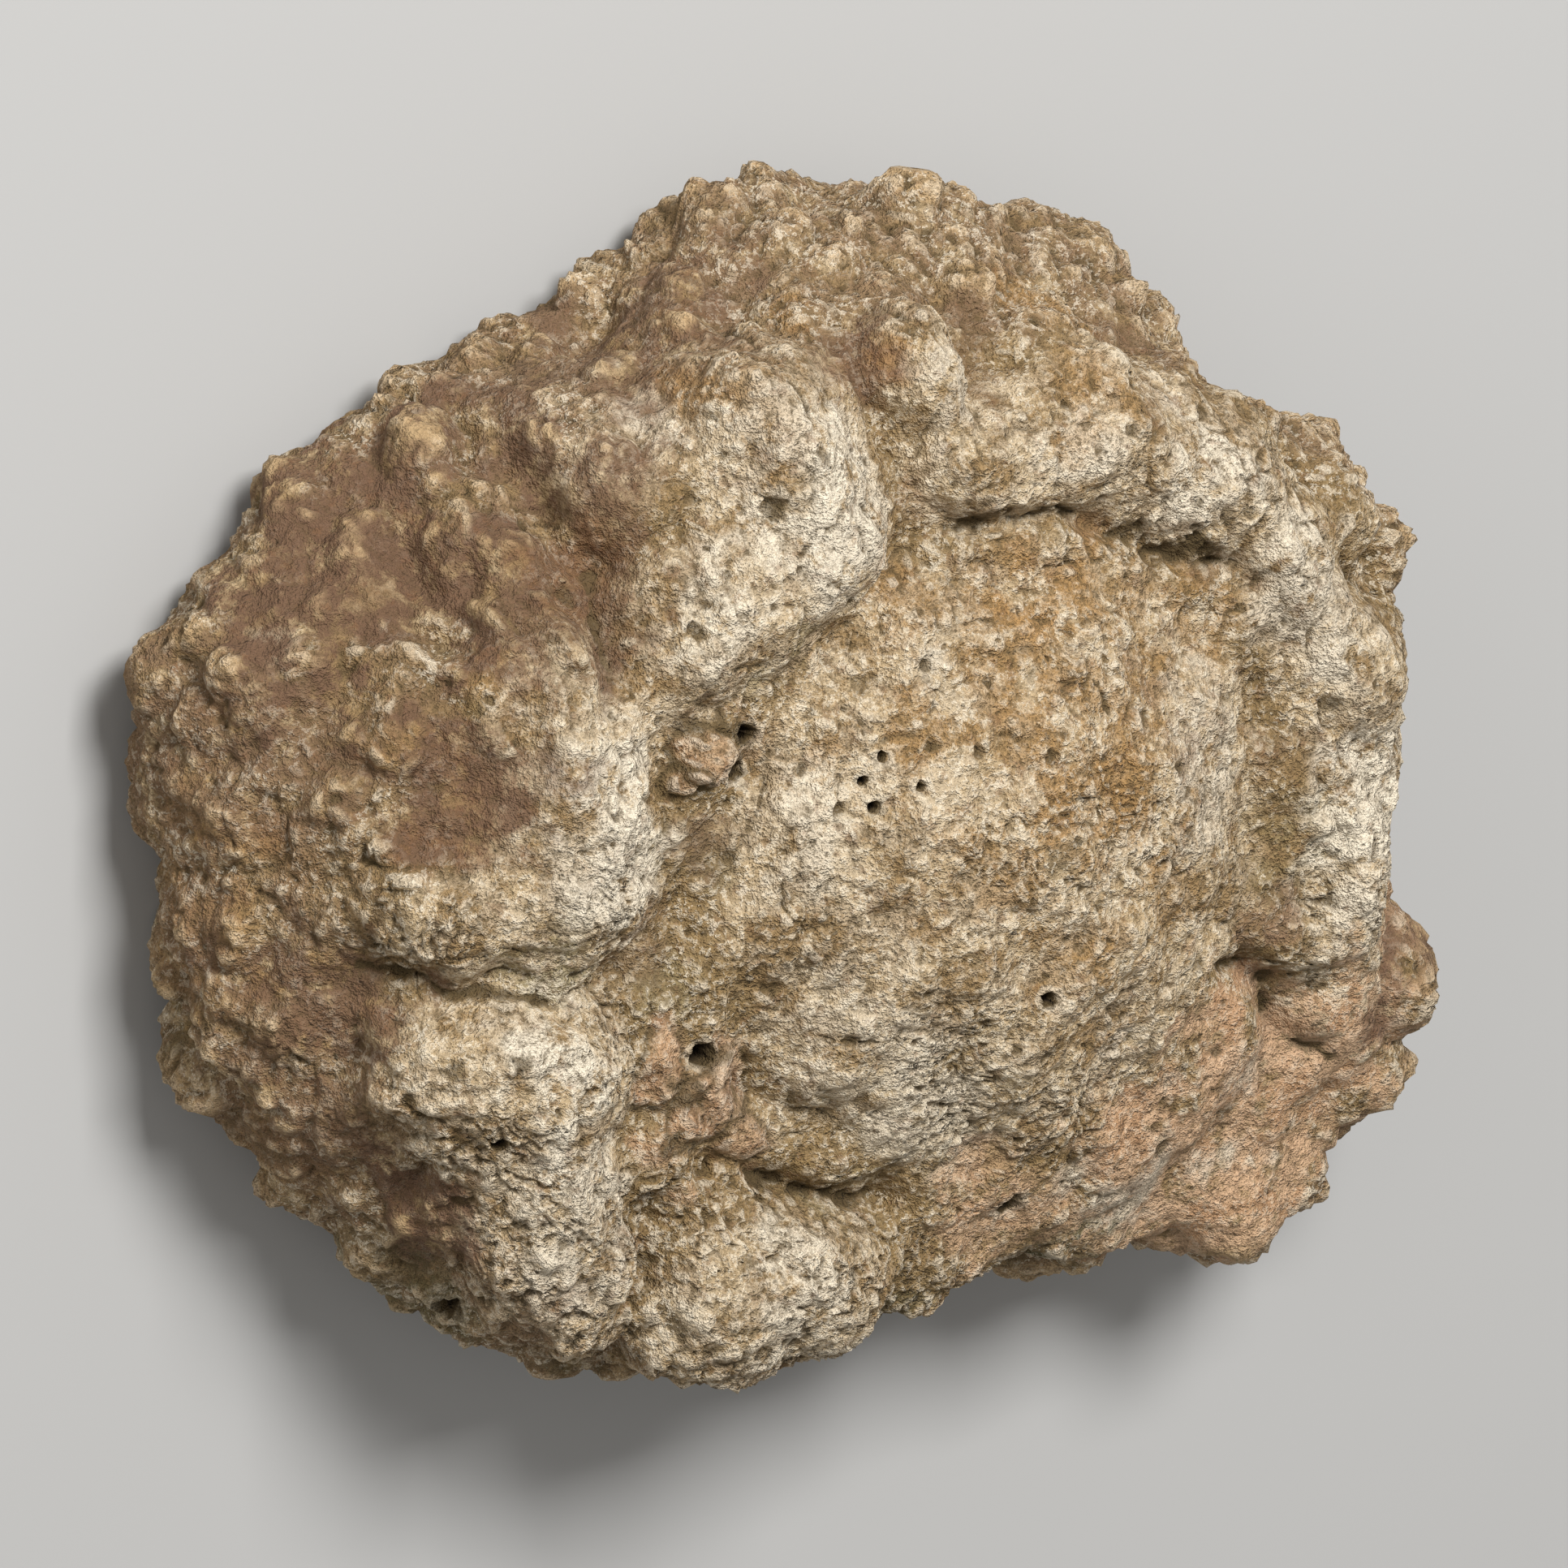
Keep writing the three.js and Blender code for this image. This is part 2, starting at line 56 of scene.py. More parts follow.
# the plate: lengths in mm, angles in degrees, places in plan are (x, y)
plate = {
    "triangles": 197000,          # of the finished mesh
    "boxMargin": 0.02,            # stays this far inside the solids' box
    "centre": (-5, 2, 8),         # the surface is laid out round this point
    "grooveFloor": 12.6,          # height of the furrow floors
    "soleDepth": 0.8,             # the underside is this far below the floor before it is cut flat
    "edgeSharpness": 14,          # a higher value rounds the edges less
    "bevelRise": 50,              # tilt of the bevel round the face
    "footRise": -45,              # tilt of the bevel round the foot
    "footBevel": 2.2,
    "footFlare": 5,
    # shares of the mesh's points on the face and the sole, and the drum that spreads them
    "shares": {"face": 0.42, "sole": 0.14},
    "shareDrum": {"halfX": 27, "halfY": 23, "top": 5.5, "foot": -8.8},
    # sutured walls: azimuth of the outward normal, lean, reach from the centre, bevel at the face
    "walls": [
        (6, -4, 26.7, 1.4), (52, 6, 24.0, 1.8), (82, 24, 21.0, 2.0), (116, 22, 19.8, 2.2),
        (131, 24, 19.8, 3.0), (178, 20, 24.4, 4.2), (212, 12, 24.1, 3.4), (238, 6, 23.8, 2.2),
        (277, -4, 21.8, 1.6), (325, -3, 32.4, 1.2),
    ],
    "ramp": {"azimuth": 315, "rise": 77, "through": (8, -8, 12.6)},
    "faceFrom": 9.5,              # above this a small place is found by its plan alone
    "rimFade": (7, 9),            # heights between which cracks and ridgelets fade in
    "formBlend": 3.5,             # a higher value keeps the figures apart with sharper creases
    # figures of the outer face: crest route, half width, height over the groove floor, flank
    "figures": {
        "dome": ([(0.4, 0.4)], 12.8, 5.2, 0.92),
        "northBoss": ([(-9.6, 15.2), (-8.8, 11.8)], 5.5, 3.4, 2.1),
        "northBossTail": ([(-10, 11.4), (-13.8, 8.6)], 4.8, 2.9, 2.2),
        "northWestBoss": ([(-15.9, 17.2), (-15.4, 15.2)], 4.0, 1.9, 1.5),
        "westBoss": ([(-17.9, 5.4), (-17.6, -0.2)], 5.6, 3.1, 2.3),
        "westBossToe": ([(-18.4, 0.2), (-21.9, -1)], 3.3, 2.5, 1.5),
        "southWestBoss": ([(-18, -6.9), (-20, -6.4)], 5.3, 3.0, 2.1),
        "southWestRidge": ([(-17.8, -9.5), (-16.6, -16.4)], 4.8, 2.4, 2.0),
        "southBoss": ([(-9.8, -16.2), (-6.1, -16)], 5.1, 2.4, 2.0),
        "eastBoss": ([(16.7, 5.2), (16.8, -3.6)], 3.8, 2.7, 1.6),
        "eastBossFoot": ([(16.8, -3.6), (18, -7.6)], 3.9, 1.7, 1.6),
        "northEastRidge": (
            [(-2.2, 14.7), (3.5, 15.5), (9, 13.6), (12.8, 9.9), (15, 6.2)], 3.5, 3.0, 1.4),
        "rimKnob": ([(-3.8, 17.7)], 2.3, 2.8, 1.2),
        "cornerSwell": ([(17.2, 12.2)], 3.1, 1.2, 1.4),
    },
    # bone and clay that fill the furrows between the figures: the same values
    "fillings": {
        "apron": ([(4, -10.5), (11.5, -8)], 5.5, 1.3, 1.6),
        "eastSulcus": ([(11.5, 8), (13.6, 3), (13.4, -3)], 3.8, 1.9, 1.2),
        "northSulcus": ([(-2, 12), (4, 12.2), (9.5, 10)], 3.2, 1.9, 1.2),
        "westSulcus": ([(-6.2, 12.4), (-9, 8.4), (-11.6, 4.4), (-13, 0), (-12.4, -6)], 3.4, 1.5, 1.2),
        "southSulcus": ([(-13, -10.4), (-8, -12), (-2, -12.6)], 3.2, 0.9, 1.2),
    },
    # grooves between the figures: route, half width, depth
    "grooves": [
        ([(-25.5, -3.4), (-20.6, -3.5), (-15.5, -3.8)], 1.2, 0.6),
        ([(-18.3, 14.6), (-17.2, 12.8), (-16.7, 11.4), (-16.9, 6.8)], 0.9, 1.1),
        ([(-3.4, 12.6), (1.8, 12.9), (6.5, 11.3), (10.7, 9.8)], 0.6, 0.7),
        ([(-11, -10.9), (-6.9, -12.3), (-3, -13.1)], 1.0, 1.5),
        ([(-13.4, -12.6), (-12.7, -19)], 0.9, 1.0),
        ([(12, -4.8), (16.6, -8.8)], 0.8, 0.8),
        ([(-11.2, 4), (-13.1, 0), (-12.7, -6.2)], 1.2, 0.8),
    ],
    # broad hollows in the walls and the underside: centre, radius, depth
    "hollows": [
        ((4, -20, 7), 7, 2.3), ((21.5, 1.5, 8), 7, 1.3), ((14.2, 17, 7), 3.4, 2.8),
        ((10.9, 19, 10), 2.6, 1.3), ((-14.5, 22, 5), 6.5, 2.8), ((-24, 11.5, 11), 5, 1.4),
        ((-27.8, 10.8, 1.4), 2.7, 1.9), ((-30, -1, 2), 3.6, 1.5), ((12.2, -17.8, 9), 3, 0.8),
        ((-3.2, -20, 9), 3.2, 1.9), ((-3.7, 24, 5), 2, 1.0), ((-6.4, -19.9, 12.6), 3.4, 1.1),
        ((-13, 5, 0), 6.5, 1.5), ((7.5, 9, 0), 5, 1.3), ((8, -9, 0), 5.5, 1.4),
    ],
    # single lumps on the sutures and the rim: centre, radius, height
    "knobs": [
        ((-30.8, 7.4, 3), 2.8, 1.8), ((-27, -9.8, 2.5), 3.2, 1.0), ((-7.8, 23.6, 4), 1.9, 1.5),
        ((-0.3, 23.4, 6), 1.6, 1.2), ((8, 22, 5), 3.2, 1.3), ((11.8, 17.4, 8), 1.6, 0.6),
        ((22.8, -6.6, 9.5), 3.0, 2.8), ((21.8, -10.2, 9), 3.0, 1.3), ((18.6, 13.4, 8.5), 2.6, 0.9),
        ((19, 10.2, 10.5), 1.9, 1.3), ((17, -16.4, 8), 4.0, 1.1), ((9.5, -18.8, 4), 3.0, 2.1),
        ((-19.2, 11.6, 10.6), 1.5, 0.6), ((-20.0, 10.0, 11.4), 1.3, 0.4),
        ((-21.3, 7.6, 11.8), 1.4, 0.5), ((-18.8, 8.8, 13), 1.2, 0.4), ((-23.8, 5.1, 11.4), 1.2, 0.5),
        ((-13.3, 17.7, 13.6), 1.1, 0.45), ((-11.3, 19.5, 7.9), 1.4, 0.6),
        ((-7.5, 20.2, 11.1), 1.3, 0.5), ((-15.6, 15.2, 12.8), 1.2, 0.3),
    ],
    # nodules spread over the walls, and a low swell over everything
    "nodules": {"count": 620, "radius": 1.35, "height": 0.55, "scatter": 1.0},
    "swell": {"height": 0.16, "pace": 0.9},
    # vessel openings: mouth, radius, depth
    "openings": [
        ((-11.0, 5.3, 12.7), 0.34, 1.2), ((-11.2, 3.8, 12.3), 0.42, 1.6),
        ((-11.6, -6.6, 12.2), 0.42, 1.6), ((0.9, -4.7, 17.0), 0.31, 1.4),
        ((3.0, -13.7, 12.0), 0.36, 1.6), ((-18.3, 14.6, 10.8), 0.36, 1.4),
        ((-18.2, -16.4, 8.0), 0.5, 1.8), ((-20.7, -9.0, 14.8), 0.22, 0.6), ((-5.5, 8.5, 0), 0.8, 2.2),
        ((2, -6.5, 0), 0.6, 2.0), ((-12.5, -6, 0), 0.7, 2.0), ((11, 3.5, 0), 0.5, 1.8),
        ((-6.4, 4.6, 15.9), 0.16, 0.8), ((-7.0, 3.7, 15.8), 0.17, 0.8), ((-5.2, 3.6, 16.5), 0.18, 0.7),
        ((-6.7, 2.8, 16.1), 0.22, 0.6),
    ],
    # wide shallow pits with a floor darkened by painted shade: place in plan, radius
    "pits": [
        ((-8.9, 4.0), 0.38), ((-7.9, 2.7), 0.34), ((-4.6, 4.9), 0.34), ((0.6, 5.3), 0.3),
        ((-1.2, 5.1), 0.28), ((-2.9, 4.8), 0.26), ((6.4, 3.5), 0.4), ((-11.2, 13.8), 0.5),
        ((8.6, 12.7), 0.42), ((7.5, 12.3), 0.3), ((-20.6, -5.8), 0.38), ((-22.8, -6.3), 0.34),
        ((-12.8, -14.5), 0.6), ((4.9, 5.5), 0.5), ((-14.0, 9.4), 0.3), ((9.6, -12.2), 0.5),
    ],
    "pitDepth": 0.15,
    # cracks: route in plan, half width, depth
    "cracks": [
        ([(-9.4, 0.4), (-9.55, -0.2), (-9.4, -0.8), (-9.1, -1.3)], 0.07, 0.22),
        ([(-25.2, -3.3), (-23.4, -3.6), (-20.7, -3.5), (-18.8, -3.8)], 0.15, 0.2),
        ([(-16.8, 11.4), (-16.9, 9.6), (-16.7, 7.8)], 0.16, 0.14),
        ([(11.4, -4.4), (11.7, -5.0), (12.3, -5.2)], 0.24, 0.3),
        ([(13.6, -6.2), (14.2, -6.4), (14.6, -7.2)], 0.22, 0.32),
        ([(16.6, -8.6), (17.5, -9.4)], 0.18, 0.25),
        ([(2.2, 7.2), (2.7, 6.0)], 0.06, 0.15),
        ([(-2.6, 12.6), (-1.4, 13.1), (0.2, 12.7), (1.6, 13.2), (3.2, 12.7)], 0.26, 0.26),
        ([(5.4, 12.0), (6.6, 11.3), (7.6, 11.4), (8.7, 10.5), (10.4, 9.9)], 0.36, 0.38),
        ([(-8.6, -11.8), (-6.4, -12.2), (-3.6, -13.1)], 0.26, 0.3),
    ],
    # lumps of dry clay stuck on the face: place, radius, height
    "clods": [
        ((-12.7, 4.6, 12.6), 1.25, 0.6), ((-13.6, 3.6, 12.9), 0.8, 0.4),
        ((-13.6, -7.4, 12.6), 1.3, 0.3), ((-11.8, -8.6, 12.8), 1.5, 0.35),
        ((-10.4, -7.9, 12.6), 1.1, 0.3), ((-9.6, -10.2, 12.4), 1.0, 0.25),
    ],
    # narrow bumps where bone shows through the soil: route in plan, half width, height
    "ridgelets": [
        ([(-20.3, 12.8), (-20.1, 11.8)], 0.55, 0.45), ([(-18.6, 10.2), (-18.2, 8.4)], 0.5, 0.5),
        ([(-20.4, 9.8), (-20.1, 8.6)], 0.5, 0.4), ([(-22.9, 8.4), (-22.2, 7.8)], 0.6, 0.4),
        ([(-25.3, 5.5), (-24.8, 5.0)], 0.5, 0.4), ([(-21.4, 6.8), (-20.9, 5.6)], 0.5, 0.35),
        ([(-19.2, 7.4), (-19.0, 6.0)], 0.45, 0.35), ([(-13.6, 11.4), (-13.0, 10.0)], 0.4, 0.35),
        ([(-22.4, 10.6), (-22.0, 9.9)], 0.45, 0.3), ([(-24.6, 1.8), (-24.0, 0.6)], 0.5, 0.35),
    ],
    # small forms of the whole surface; wobble and bend make their outlines less regular
    "wobble": {"size": 2.2, "reach": 0.42},
    "bend": {"size": 1.3, "reach": 0.35},
    "lumps": {"size": 2.4, "height": 0.24},
    "grain": {"size": 1.0, "height": 0.34},
    "crevices": {"size": 1.7, "width": 0.07, "depth": 0.16, "patch": 2.6},
    "flakes": {"across": (0.10, 0.42, 0.90), "spacing": 0.78, "height": 0.26, "waver": 1.7, "patch": 3.6},
    "granules": {"size": 1.45, "height": 0.50, "small": 0.7, "onFace": 0.15},
    "pores": {"count": 560, "reach": 27, "scatter": 1.6, "radius": (0.13, 0.36), "depth": 0.16},
    # how far dirt smooths the bone: the share of each patch, then of each small form
    "smoothing": {"soil": 0.42, "earth": 0.7, "lumps": 0.5, "grain": 0.6, "granules": 0.75},
    "smallPatch": 1.3,            # patches with a smaller radius are placed by their plan
    # rounds of evening out that tell hollows, granules and valleys from what lies around them
    "rounds": {"cavity": 24, "proud": 90, "valley": 120},
    # coloured patches, two kinds of them painted shade: place, radius, strength
    "patches": {
        "ochre": [
            ((2.0, 9.6, 15), 2.8, 0.8), ((1.2, 4.0, 17.4), 4.8, 0.6), ((3.6, 1.4, 17.2), 2.6, 0.6),
            ((3.6, -1, 17.2), 5.4, 0.35), ((5.4, 4.6, 16.4), 3.6, 0.3), ((6.6, 5.6, 16), 3.4, 0.5),
            ((-4.4, 9.4, 15), 2.4, 0.5), ((-6.4, 11.4, 14), 2.0, 0.5), ((12.2, 2, 12.9), 1.8, 0.6),
            ((8, 9.4, 13), 3.0, 0.6), ((0.0, 9.0, 15.5), 1.9, 1.0), ((0.2, 2.8, 17.7), 1.9, 0.9),
            ((-1.9, 5.8, 16.6), 1.7, 0.9), ((2.9, 3.3, 17.3), 1.5, 0.8), ((4.4, 4.4, 16.9), 1.4, 0.8),
            ((-2.9, 3.3, 17.3), 1.6, 0.9), ((3.4, 8.6, 15.4), 1.8, 0.6), ((-0.5, 5.5, 17.0), 7.0, 0.55),
            ((-2, 7.1, 16.3), 3.4, 0.55), ((-5.9, 18.8, 14.0), 1.4, 0.9),
            ((-13.2, 17.6, 13.6), 1.0, 0.8), ((-7.4, 20.2, 11.1), 1.2, 0.8),
            ((-11.5, 15.5, 15.5), 2.2, 0.3), ((-28.5, -2, 6), 5.0, 0.5), ((-24, -11, 5), 4.0, 0.4),
            ((3, 17, 14.6), 2.4, 0.5), ((3.3, 19.9, 10.1), 2.2, 0.6), ((-23.8, 5.1, 11.3), 1.0, 0.5),
            ((-11.3, 19.4, 7.8), 1.1, 0.6), ((-21.2, 7.6, 11.8), 1.2, 0.5),
        ],
        "grey": [
            ((8.4, 3.2, 15.6), 3.2, 0.8), ((12.6, 9.0, 15.4), 2.8, 0.8), ((-3.6, 18.3, 14.8), 1.3, 1.0),
            ((-18.6, 1.5, 15.6), 2.6, 0.6), ((-6, -7, 15), 4.5, 0.4), ((-8.2, 12.4, 15.6), 2.6, 0.7),
            ((5.3, -6.8, 15.2), 0.9, 1.0), ((7.2, -13.9, 11.6), 1.1, 1.0), ((9.5, -13.8, 11), 2.2, 0.9),
            ((13.6, -9.6, 12), 1.2, 0.7), ((12.6, -13.4, 11.2), 1.0, 0.9), ((5.6, -13.0, 12), 1.2, 0.7),
            ((10.4, -15, 10.4), 0.8, 0.9), ((-4.3, 8, 15.3), 0.8, 0.9), ((-10.2, 0, 13.9), 0.3, 1.0),
            ((-14.1, 18.2, 8.8), 0.4, 1.0), ((-17.1, 17.3, 9.2), 0.35, 0.9),
            ((-14.2, 16.8, 11.6), 0.9, 0.8), ((9.6, -9.6, 13.0), 1.0, 0.9),
            ((14.6, -13.2, 10.9), 0.45, 1.0), ((15.6, -13.4, 10.6), 0.4, 1.0),
            ((16.8, -13.6, 10.4), 0.35, 1.0), ((-17.6, -12.0, 14.4), 3.0, 0.5),
            ((-26.5, 8, 8), 1.2, 0.5),
        ],
        # the soil patch at (21.5, -6) also stands for painted shade on the shaded south-east edge
        "soil": [
            ((-23.5, 11, 7), 7.0, 1.12), ((-25, 9.2, 8), 4.6, 1.25), ((-27, 5, 8), 4.0, 0.65),
            ((-21.5, 3.6, 13), 3.6, 1.0), ((-20.8, 2.6, 13.4), 2.4, 1.1), ((21.5, -6, 9.5), 3.4, 1.1),
            ((3, 12.8, 12.8), 1.5, 0.5), ((9, 11, 12.8), 1.8, 0.5), ((-19, 9.4, 12), 3.8, 0.9),
            ((-16.8, 13.8, 12.4), 2.8, 0.9), ((-15.6, 10.4, 13), 1.7, 0.9),
            ((-25.5, -3.5, 9.5), 4.2, 0.9), ((-21.4, -11.8, 10.4), 3.2, 1.0),
            ((-6.6, 18.6, 12.4), 2.0, 0.9), ((-13, 20, 7), 5.0, 0.8), ((-24, -9, 7), 5.5, 0.65),
            ((-12.9, 1.4, 12.6), 1.8, 0.7), ((5.5, 16.6, 14), 1.2, 0.4), ((-1, 18.5, 12), 2.4, 0.5),
            ((9, 18.6, 11), 2.5, 0.5), ((-14.4, -1.4, 12.4), 2.2, 0.5), ((-28.5, 4, 6), 6.0, 0.5),
            ((-28, -3, 6), 4.5, 0.5), ((-19, 16, 8), 3.6, 0.9), ((12.7, 3, 12.8), 2.0, 0.5),
            ((12.8, -3.4, 12.6), 2.0, 0.6), ((-4, 13.4, 12.8), 2.0, 0.5),
            ((-17.0, -14.8, 12.4), 2.2, 0.4),
        ],
        "earth": [
            ((12.5, -13, 11), 7.8, 1.0), ((8.6, -11.2, 12.2), 4.4, 1.0), ((1.4, -13.6, 11.6), 3.0, 0.8),
            ((16.5, -9, 11.6), 4.6, 1.0), ((19, -9, 10.5), 5.0, 0.9), ((4.5, -14.6, 11.6), 3.4, 0.8),
            ((20.5, -4.5, 11), 3.0, 0.8), ((-12.6, 4.5, 13), 1.8, 0.7), ((-12, -8.3, 13), 2.7, 0.9),
            ((-9.6, -10.4, 12.2), 1.6, 0.7),
        ],
        "rust": [
            ((-17.4, 11.5, 12), 1.8, 0.8), ((-21.2, 3.2, 13.2), 2.0, 0.3), ((-22.6, 0.6, 12), 2.0, 0.7),
            ((-12.6, 4.4, 13), 1.3, 0.8), ((-12.4, -8, 13), 2.4, 0.8), ((-6.5, 17.8, 13), 1.4, 0.6),
            ((16.8, -6.8, 11), 1.5, 0.6), ((10.8, -9.6, 12), 2.0, 0.5), ((6.8, 3.8, 16.4), 1.2, 0.6),
            ((4.6, 6.6, 16), 1.4, 0.5), ((-10.6, 14.6, 16), 0.8, 0.5), ((-26, 0.5, 9), 2.2, 0.5),
            ((-29, 6, 6), 1.8, 0.5), ((21, -6, 10), 1.4, 0.5), ((-14.2, -14, 12.4), 1.2, 0.6),
        ],
        "chalk": [
            ((17.4, 1.2, 14.6), 3.4, 1.0), ((17.2, -2.6, 14.2), 2.4, 0.8),
            ((-17.2, 3.4, 15.6), 3.2, 1.0), ((-16.2, 0.8, 15), 2.6, 1.0),
            ((-18.6, -6.8, 15.6), 3.2, 1.0), ((-16.8, -10.4, 14.6), 2.6, 0.8),
            ((-9.4, 14.4, 16), 3.8, 1.0), ((-12.8, 9.4, 15.4), 2.2, 0.9), ((2.4, 15.4, 15.6), 2.4, 0.8),
            ((7.4, 14.4, 15.4), 2.6, 0.9), ((11.6, 11, 15.3), 2.2, 0.8), ((-8.4, 1.8, 15), 2.4, 0.7),
            ((-7.6, -15.8, 14.6), 3.2, 0.8), ((-2.9, -8.9, 14.6), 3.6, 0.6),
            ((-17, -14.4, 14), 2.2, 0.7), ((14.6, 7.4, 15), 1.8, 0.8),
        ],
        # painted shade in a greenish-brown tone: under the bosses, in the sulci and on low walls
        "oliveShade": [
            ((-3, -8, 14.8), 4.6, 0.25), ((-19, -2.2, 13.6), 2.4, 0.9), ((-10.4, 8.6, 14.4), 1.8, 0.7),
            ((-22, -16, 7), 4.0, 0.6), ((-27, -12, 4), 4.0, 0.5), ((-16, 20, 6), 3.0, 0.5),
            ((-13.2, 1, 12.4), 2.2, 0.8), ((-12.8, -4, 12.4), 2.0, 0.6), ((12.6, 0, 13), 2.6, 0.5),
            ((-5, -12.4, 12.4), 2.6, 0.6), ((-20, -17, 9), 2.6, 0.5),
        ],
        # painted shade in a dark greenish tone on the lower walls
        "greenShade": [
            ((-1.6, -17.6, 9.5), 3.2, 0.9), ((6.5, -17.0, 8.5), 3.6, 0.9), ((-19, -17.5, 6), 3.4, 0.6),
            ((-12, -21, 6), 4.0, 0.5), ((-26, -6.5, 3.5), 2.5, 0.4),
        ],
    },
}


def latticeValue(cell, salt):
    # a number from 0 to 1 for each corner of a lattice
    mix = cell[0] * np.uint32(73856093) ^ cell[1] * np.uint32(19349663) ^ cell[2] * np.uint32(83492791)
    mix = mix ^ np.uint32(salt * 2654435761 % 4294967296)
    mix = (mix ^ (mix >> np.uint32(13))) * np.uint32(1274126177)
    mix = (mix ^ (mix >> np.uint32(16))) * np.uint32(2246822519)
    return (mix ^ (mix >> np.uint32(15))).astype(np.float32) / np.float32(4294967296)


def latticeCell(whole):
    return [whole[:, k].astype(np.int32).astype(np.uint32) for k in range(3)]


def softNoise(points, size, salt):
    # smooth noise from -1 to 1 whose lumps are about size across
    scaled = points / size + salt * 7.31
    whole = np.floor(scaled)
    t = (scaled - whole).astype(np.float32)
    t = t * t * t * (t * (t * 6 - 15) + 10)
    corner = latticeCell(whole)
    total = np.zeros(len(points), np.float32)
    for dx in (0, 1):
        for dy in (0, 1):
            for dz in (0, 1):
                weight = np.abs(1 - dx - t[:, 0]) * np.abs(1 - dy - t[:, 1]) * np.abs(1 - dz - t[:, 2])
                cell = [corner[0] + np.uint32(dx), corner[1] + np.uint32(dy), corner[2] + np.uint32(dz)]
                total += weight * latticeValue(cell, salt)
    return total * 2 - 1


def layeredNoise(points, size, salt, layers=3, fade=0.5):
    total = np.zeros(len(points), np.float32)
    strength = 1.0
    for layer in range(layers):
        total += strength * softNoise(points, size / 2.03 ** layer, salt + layer * 17)
        strength *= fade
    return total


def cellNoise(points, size, salt):
    # distance to the nearest of scattered seeds, in seed spacings
    scaled = points / size
    whole = np.floor(scaled)
    corner = latticeCell(whole)
    part = (scaled - whole).astype(np.float32)
    nearest = np.full(len(points), 9.0, np.float32)
    for dx in (-1, 0, 1):
        for dy in (-1, 0, 1):
            for dz in (-1, 0, 1):
                step = np.array((dx, dy, dz))
                cell = [corner[k] + np.uint32(step[k] % 4294967296) for k in range(3)]
                away = np.zeros(len(points), np.float32)
                for k in range(3):
                    away += (step[k] + latticeValue(cell, salt + k) - part[:, k]) ** 2
                nearest = np.minimum(nearest, away)
    return np.sqrt(nearest)


def smoothStep(low, high, value):
    t = np.clip((value - low) / (high - low), 0, 1)
    return t * t * (3 - 2 * t)


def jitter(i, salt):
    wave = math.sin(i * 12.9898 + salt * 78.233) * 43758.5453
    return wave - math.floor(wave)


def directionFrom(azimuth, rise):
    a, t = math.radians(azimuth), math.radians(rise)
    return (math.cos(a) * math.cos(t), math.sin(a) * math.cos(t), math.sin(t))


def bodyPlanes():
    planes = []
    faceRise = plate["grooveFloor"] - plate["centre"][2]
    bevel, foot = math.radians(plate["bevelRise"]), math.radians(plate["footRise"])
    for azimuth, lean, reach, width in plate["walls"]:
        slope = math.tan(math.radians(lean))
        bevelReach = reach - faceRise * slope - width
        footReach = reach + plate["footFlare"] * slope - plate["footBevel"]
        planes.append((directionFrom(azimuth, lean), reach * math.cos(math.radians(lean))))
        planes.append((directionFrom(azimuth, plate["bevelRise"]),
                       bevelReach * math.cos(bevel) + faceRise * math.sin(bevel)))
        planes.append((directionFrom(azimuth, plate["footRise"]),
                       footReach * math.cos(foot) - plate["centre"][2] * math.sin(foot)))
    planes.append(((0, 0, 1), faceRise))
    planes.append(((0, 0, -1), plate["centre"][2] + plate["soleDepth"]))
    ramp = plate["ramp"]
    rampNormal = directionFrom(ramp["azimuth"], ramp["rise"])
    planes.append((rampNormal, sum(n * (p - c) for n, p, c in
                                   zip(rampNormal, ramp["through"], plate["centre"]))))
    return planes


def bodySurface(rays):
    # where each ray from the centre leaves the rounded polyhedron, and the normal there
    sharp = plate["edgeSharpness"]
    total = np.zeros(len(rays))
    normals = np.zeros((len(rays), 3))
    for normal, reach in bodyPlanes():
        ratio = np.maximum(rays @ np.array(normal), 0) / reach
        total += ratio ** sharp
        normals += (ratio ** (sharp - 1) / reach)[:, None] * np.array(normal)
    normals /= np.linalg.norm(normals, axis=1)[:, None]
    return np.array(plate["centre"]) + rays * (total ** (-1 / sharp))[:, None], normals


def shareOut(unit):
    # equal areas of the ball land on the face, the walls and the sole in the given shares
    drum = plate["shareDrum"]
    faceStart, soleStart = 1 - 2 * plate["shares"]["face"], 2 * plate["shares"]["sole"] - 1
    z = unit[:, 2]
    radius = np.ones(len(z))
    height = drum["foot"] + (z - soleStart) / (faceStart - soleStart) * (drum["top"] - drum["foot"])
    onTop, below = z > faceStart, z < soleStart
    radius[onTop] = np.sqrt((1 - z[onTop]).clip(0) / (1 - faceStart))
    radius[below] = np.sqrt((1 + z[below]).clip(0) / (1 + soleStart))
    height[onTop], height[below] = drum["top"], drum["foot"]
    ring = np.hypot(unit[:, 0], unit[:, 1])
    ring[ring == 0] = 1
    rays = np.stack([drum["halfX"] * radius * unit[:, 0] / ring,
                     drum["halfY"] * radius * unit[:, 1] / ring, height], axis=1)
    return rays / np.linalg.norm(rays, axis=1)[:, None]


def routeDistance(x, y, route):
    nearest = np.hypot(x - route[0][0], y - route[0][1])
    for (ax, ay), (bx, by) in zip(route[:-1], route[1:]):
        dx, dy = bx - ax, by - ay
        t = np.clip(((x - ax) * dx + (y - ay) * dy) / (dx * dx + dy * dy), 0, 1)
        nearest = np.minimum(nearest, np.hypot(x - ax - t * dx, y - ay - t * dy))
    return nearest


def figureHeight(x, y, forms):
    blend = plate["formBlend"]
    total = np.zeros(len(x))
    for route, half, rise, flank in forms.values():
        inside = np.clip(1 - (routeDistance(x, y, route) / half) ** 2, 0, None)
        total += (rise * inside ** flank) ** blend
    return total ** (1 / blend)


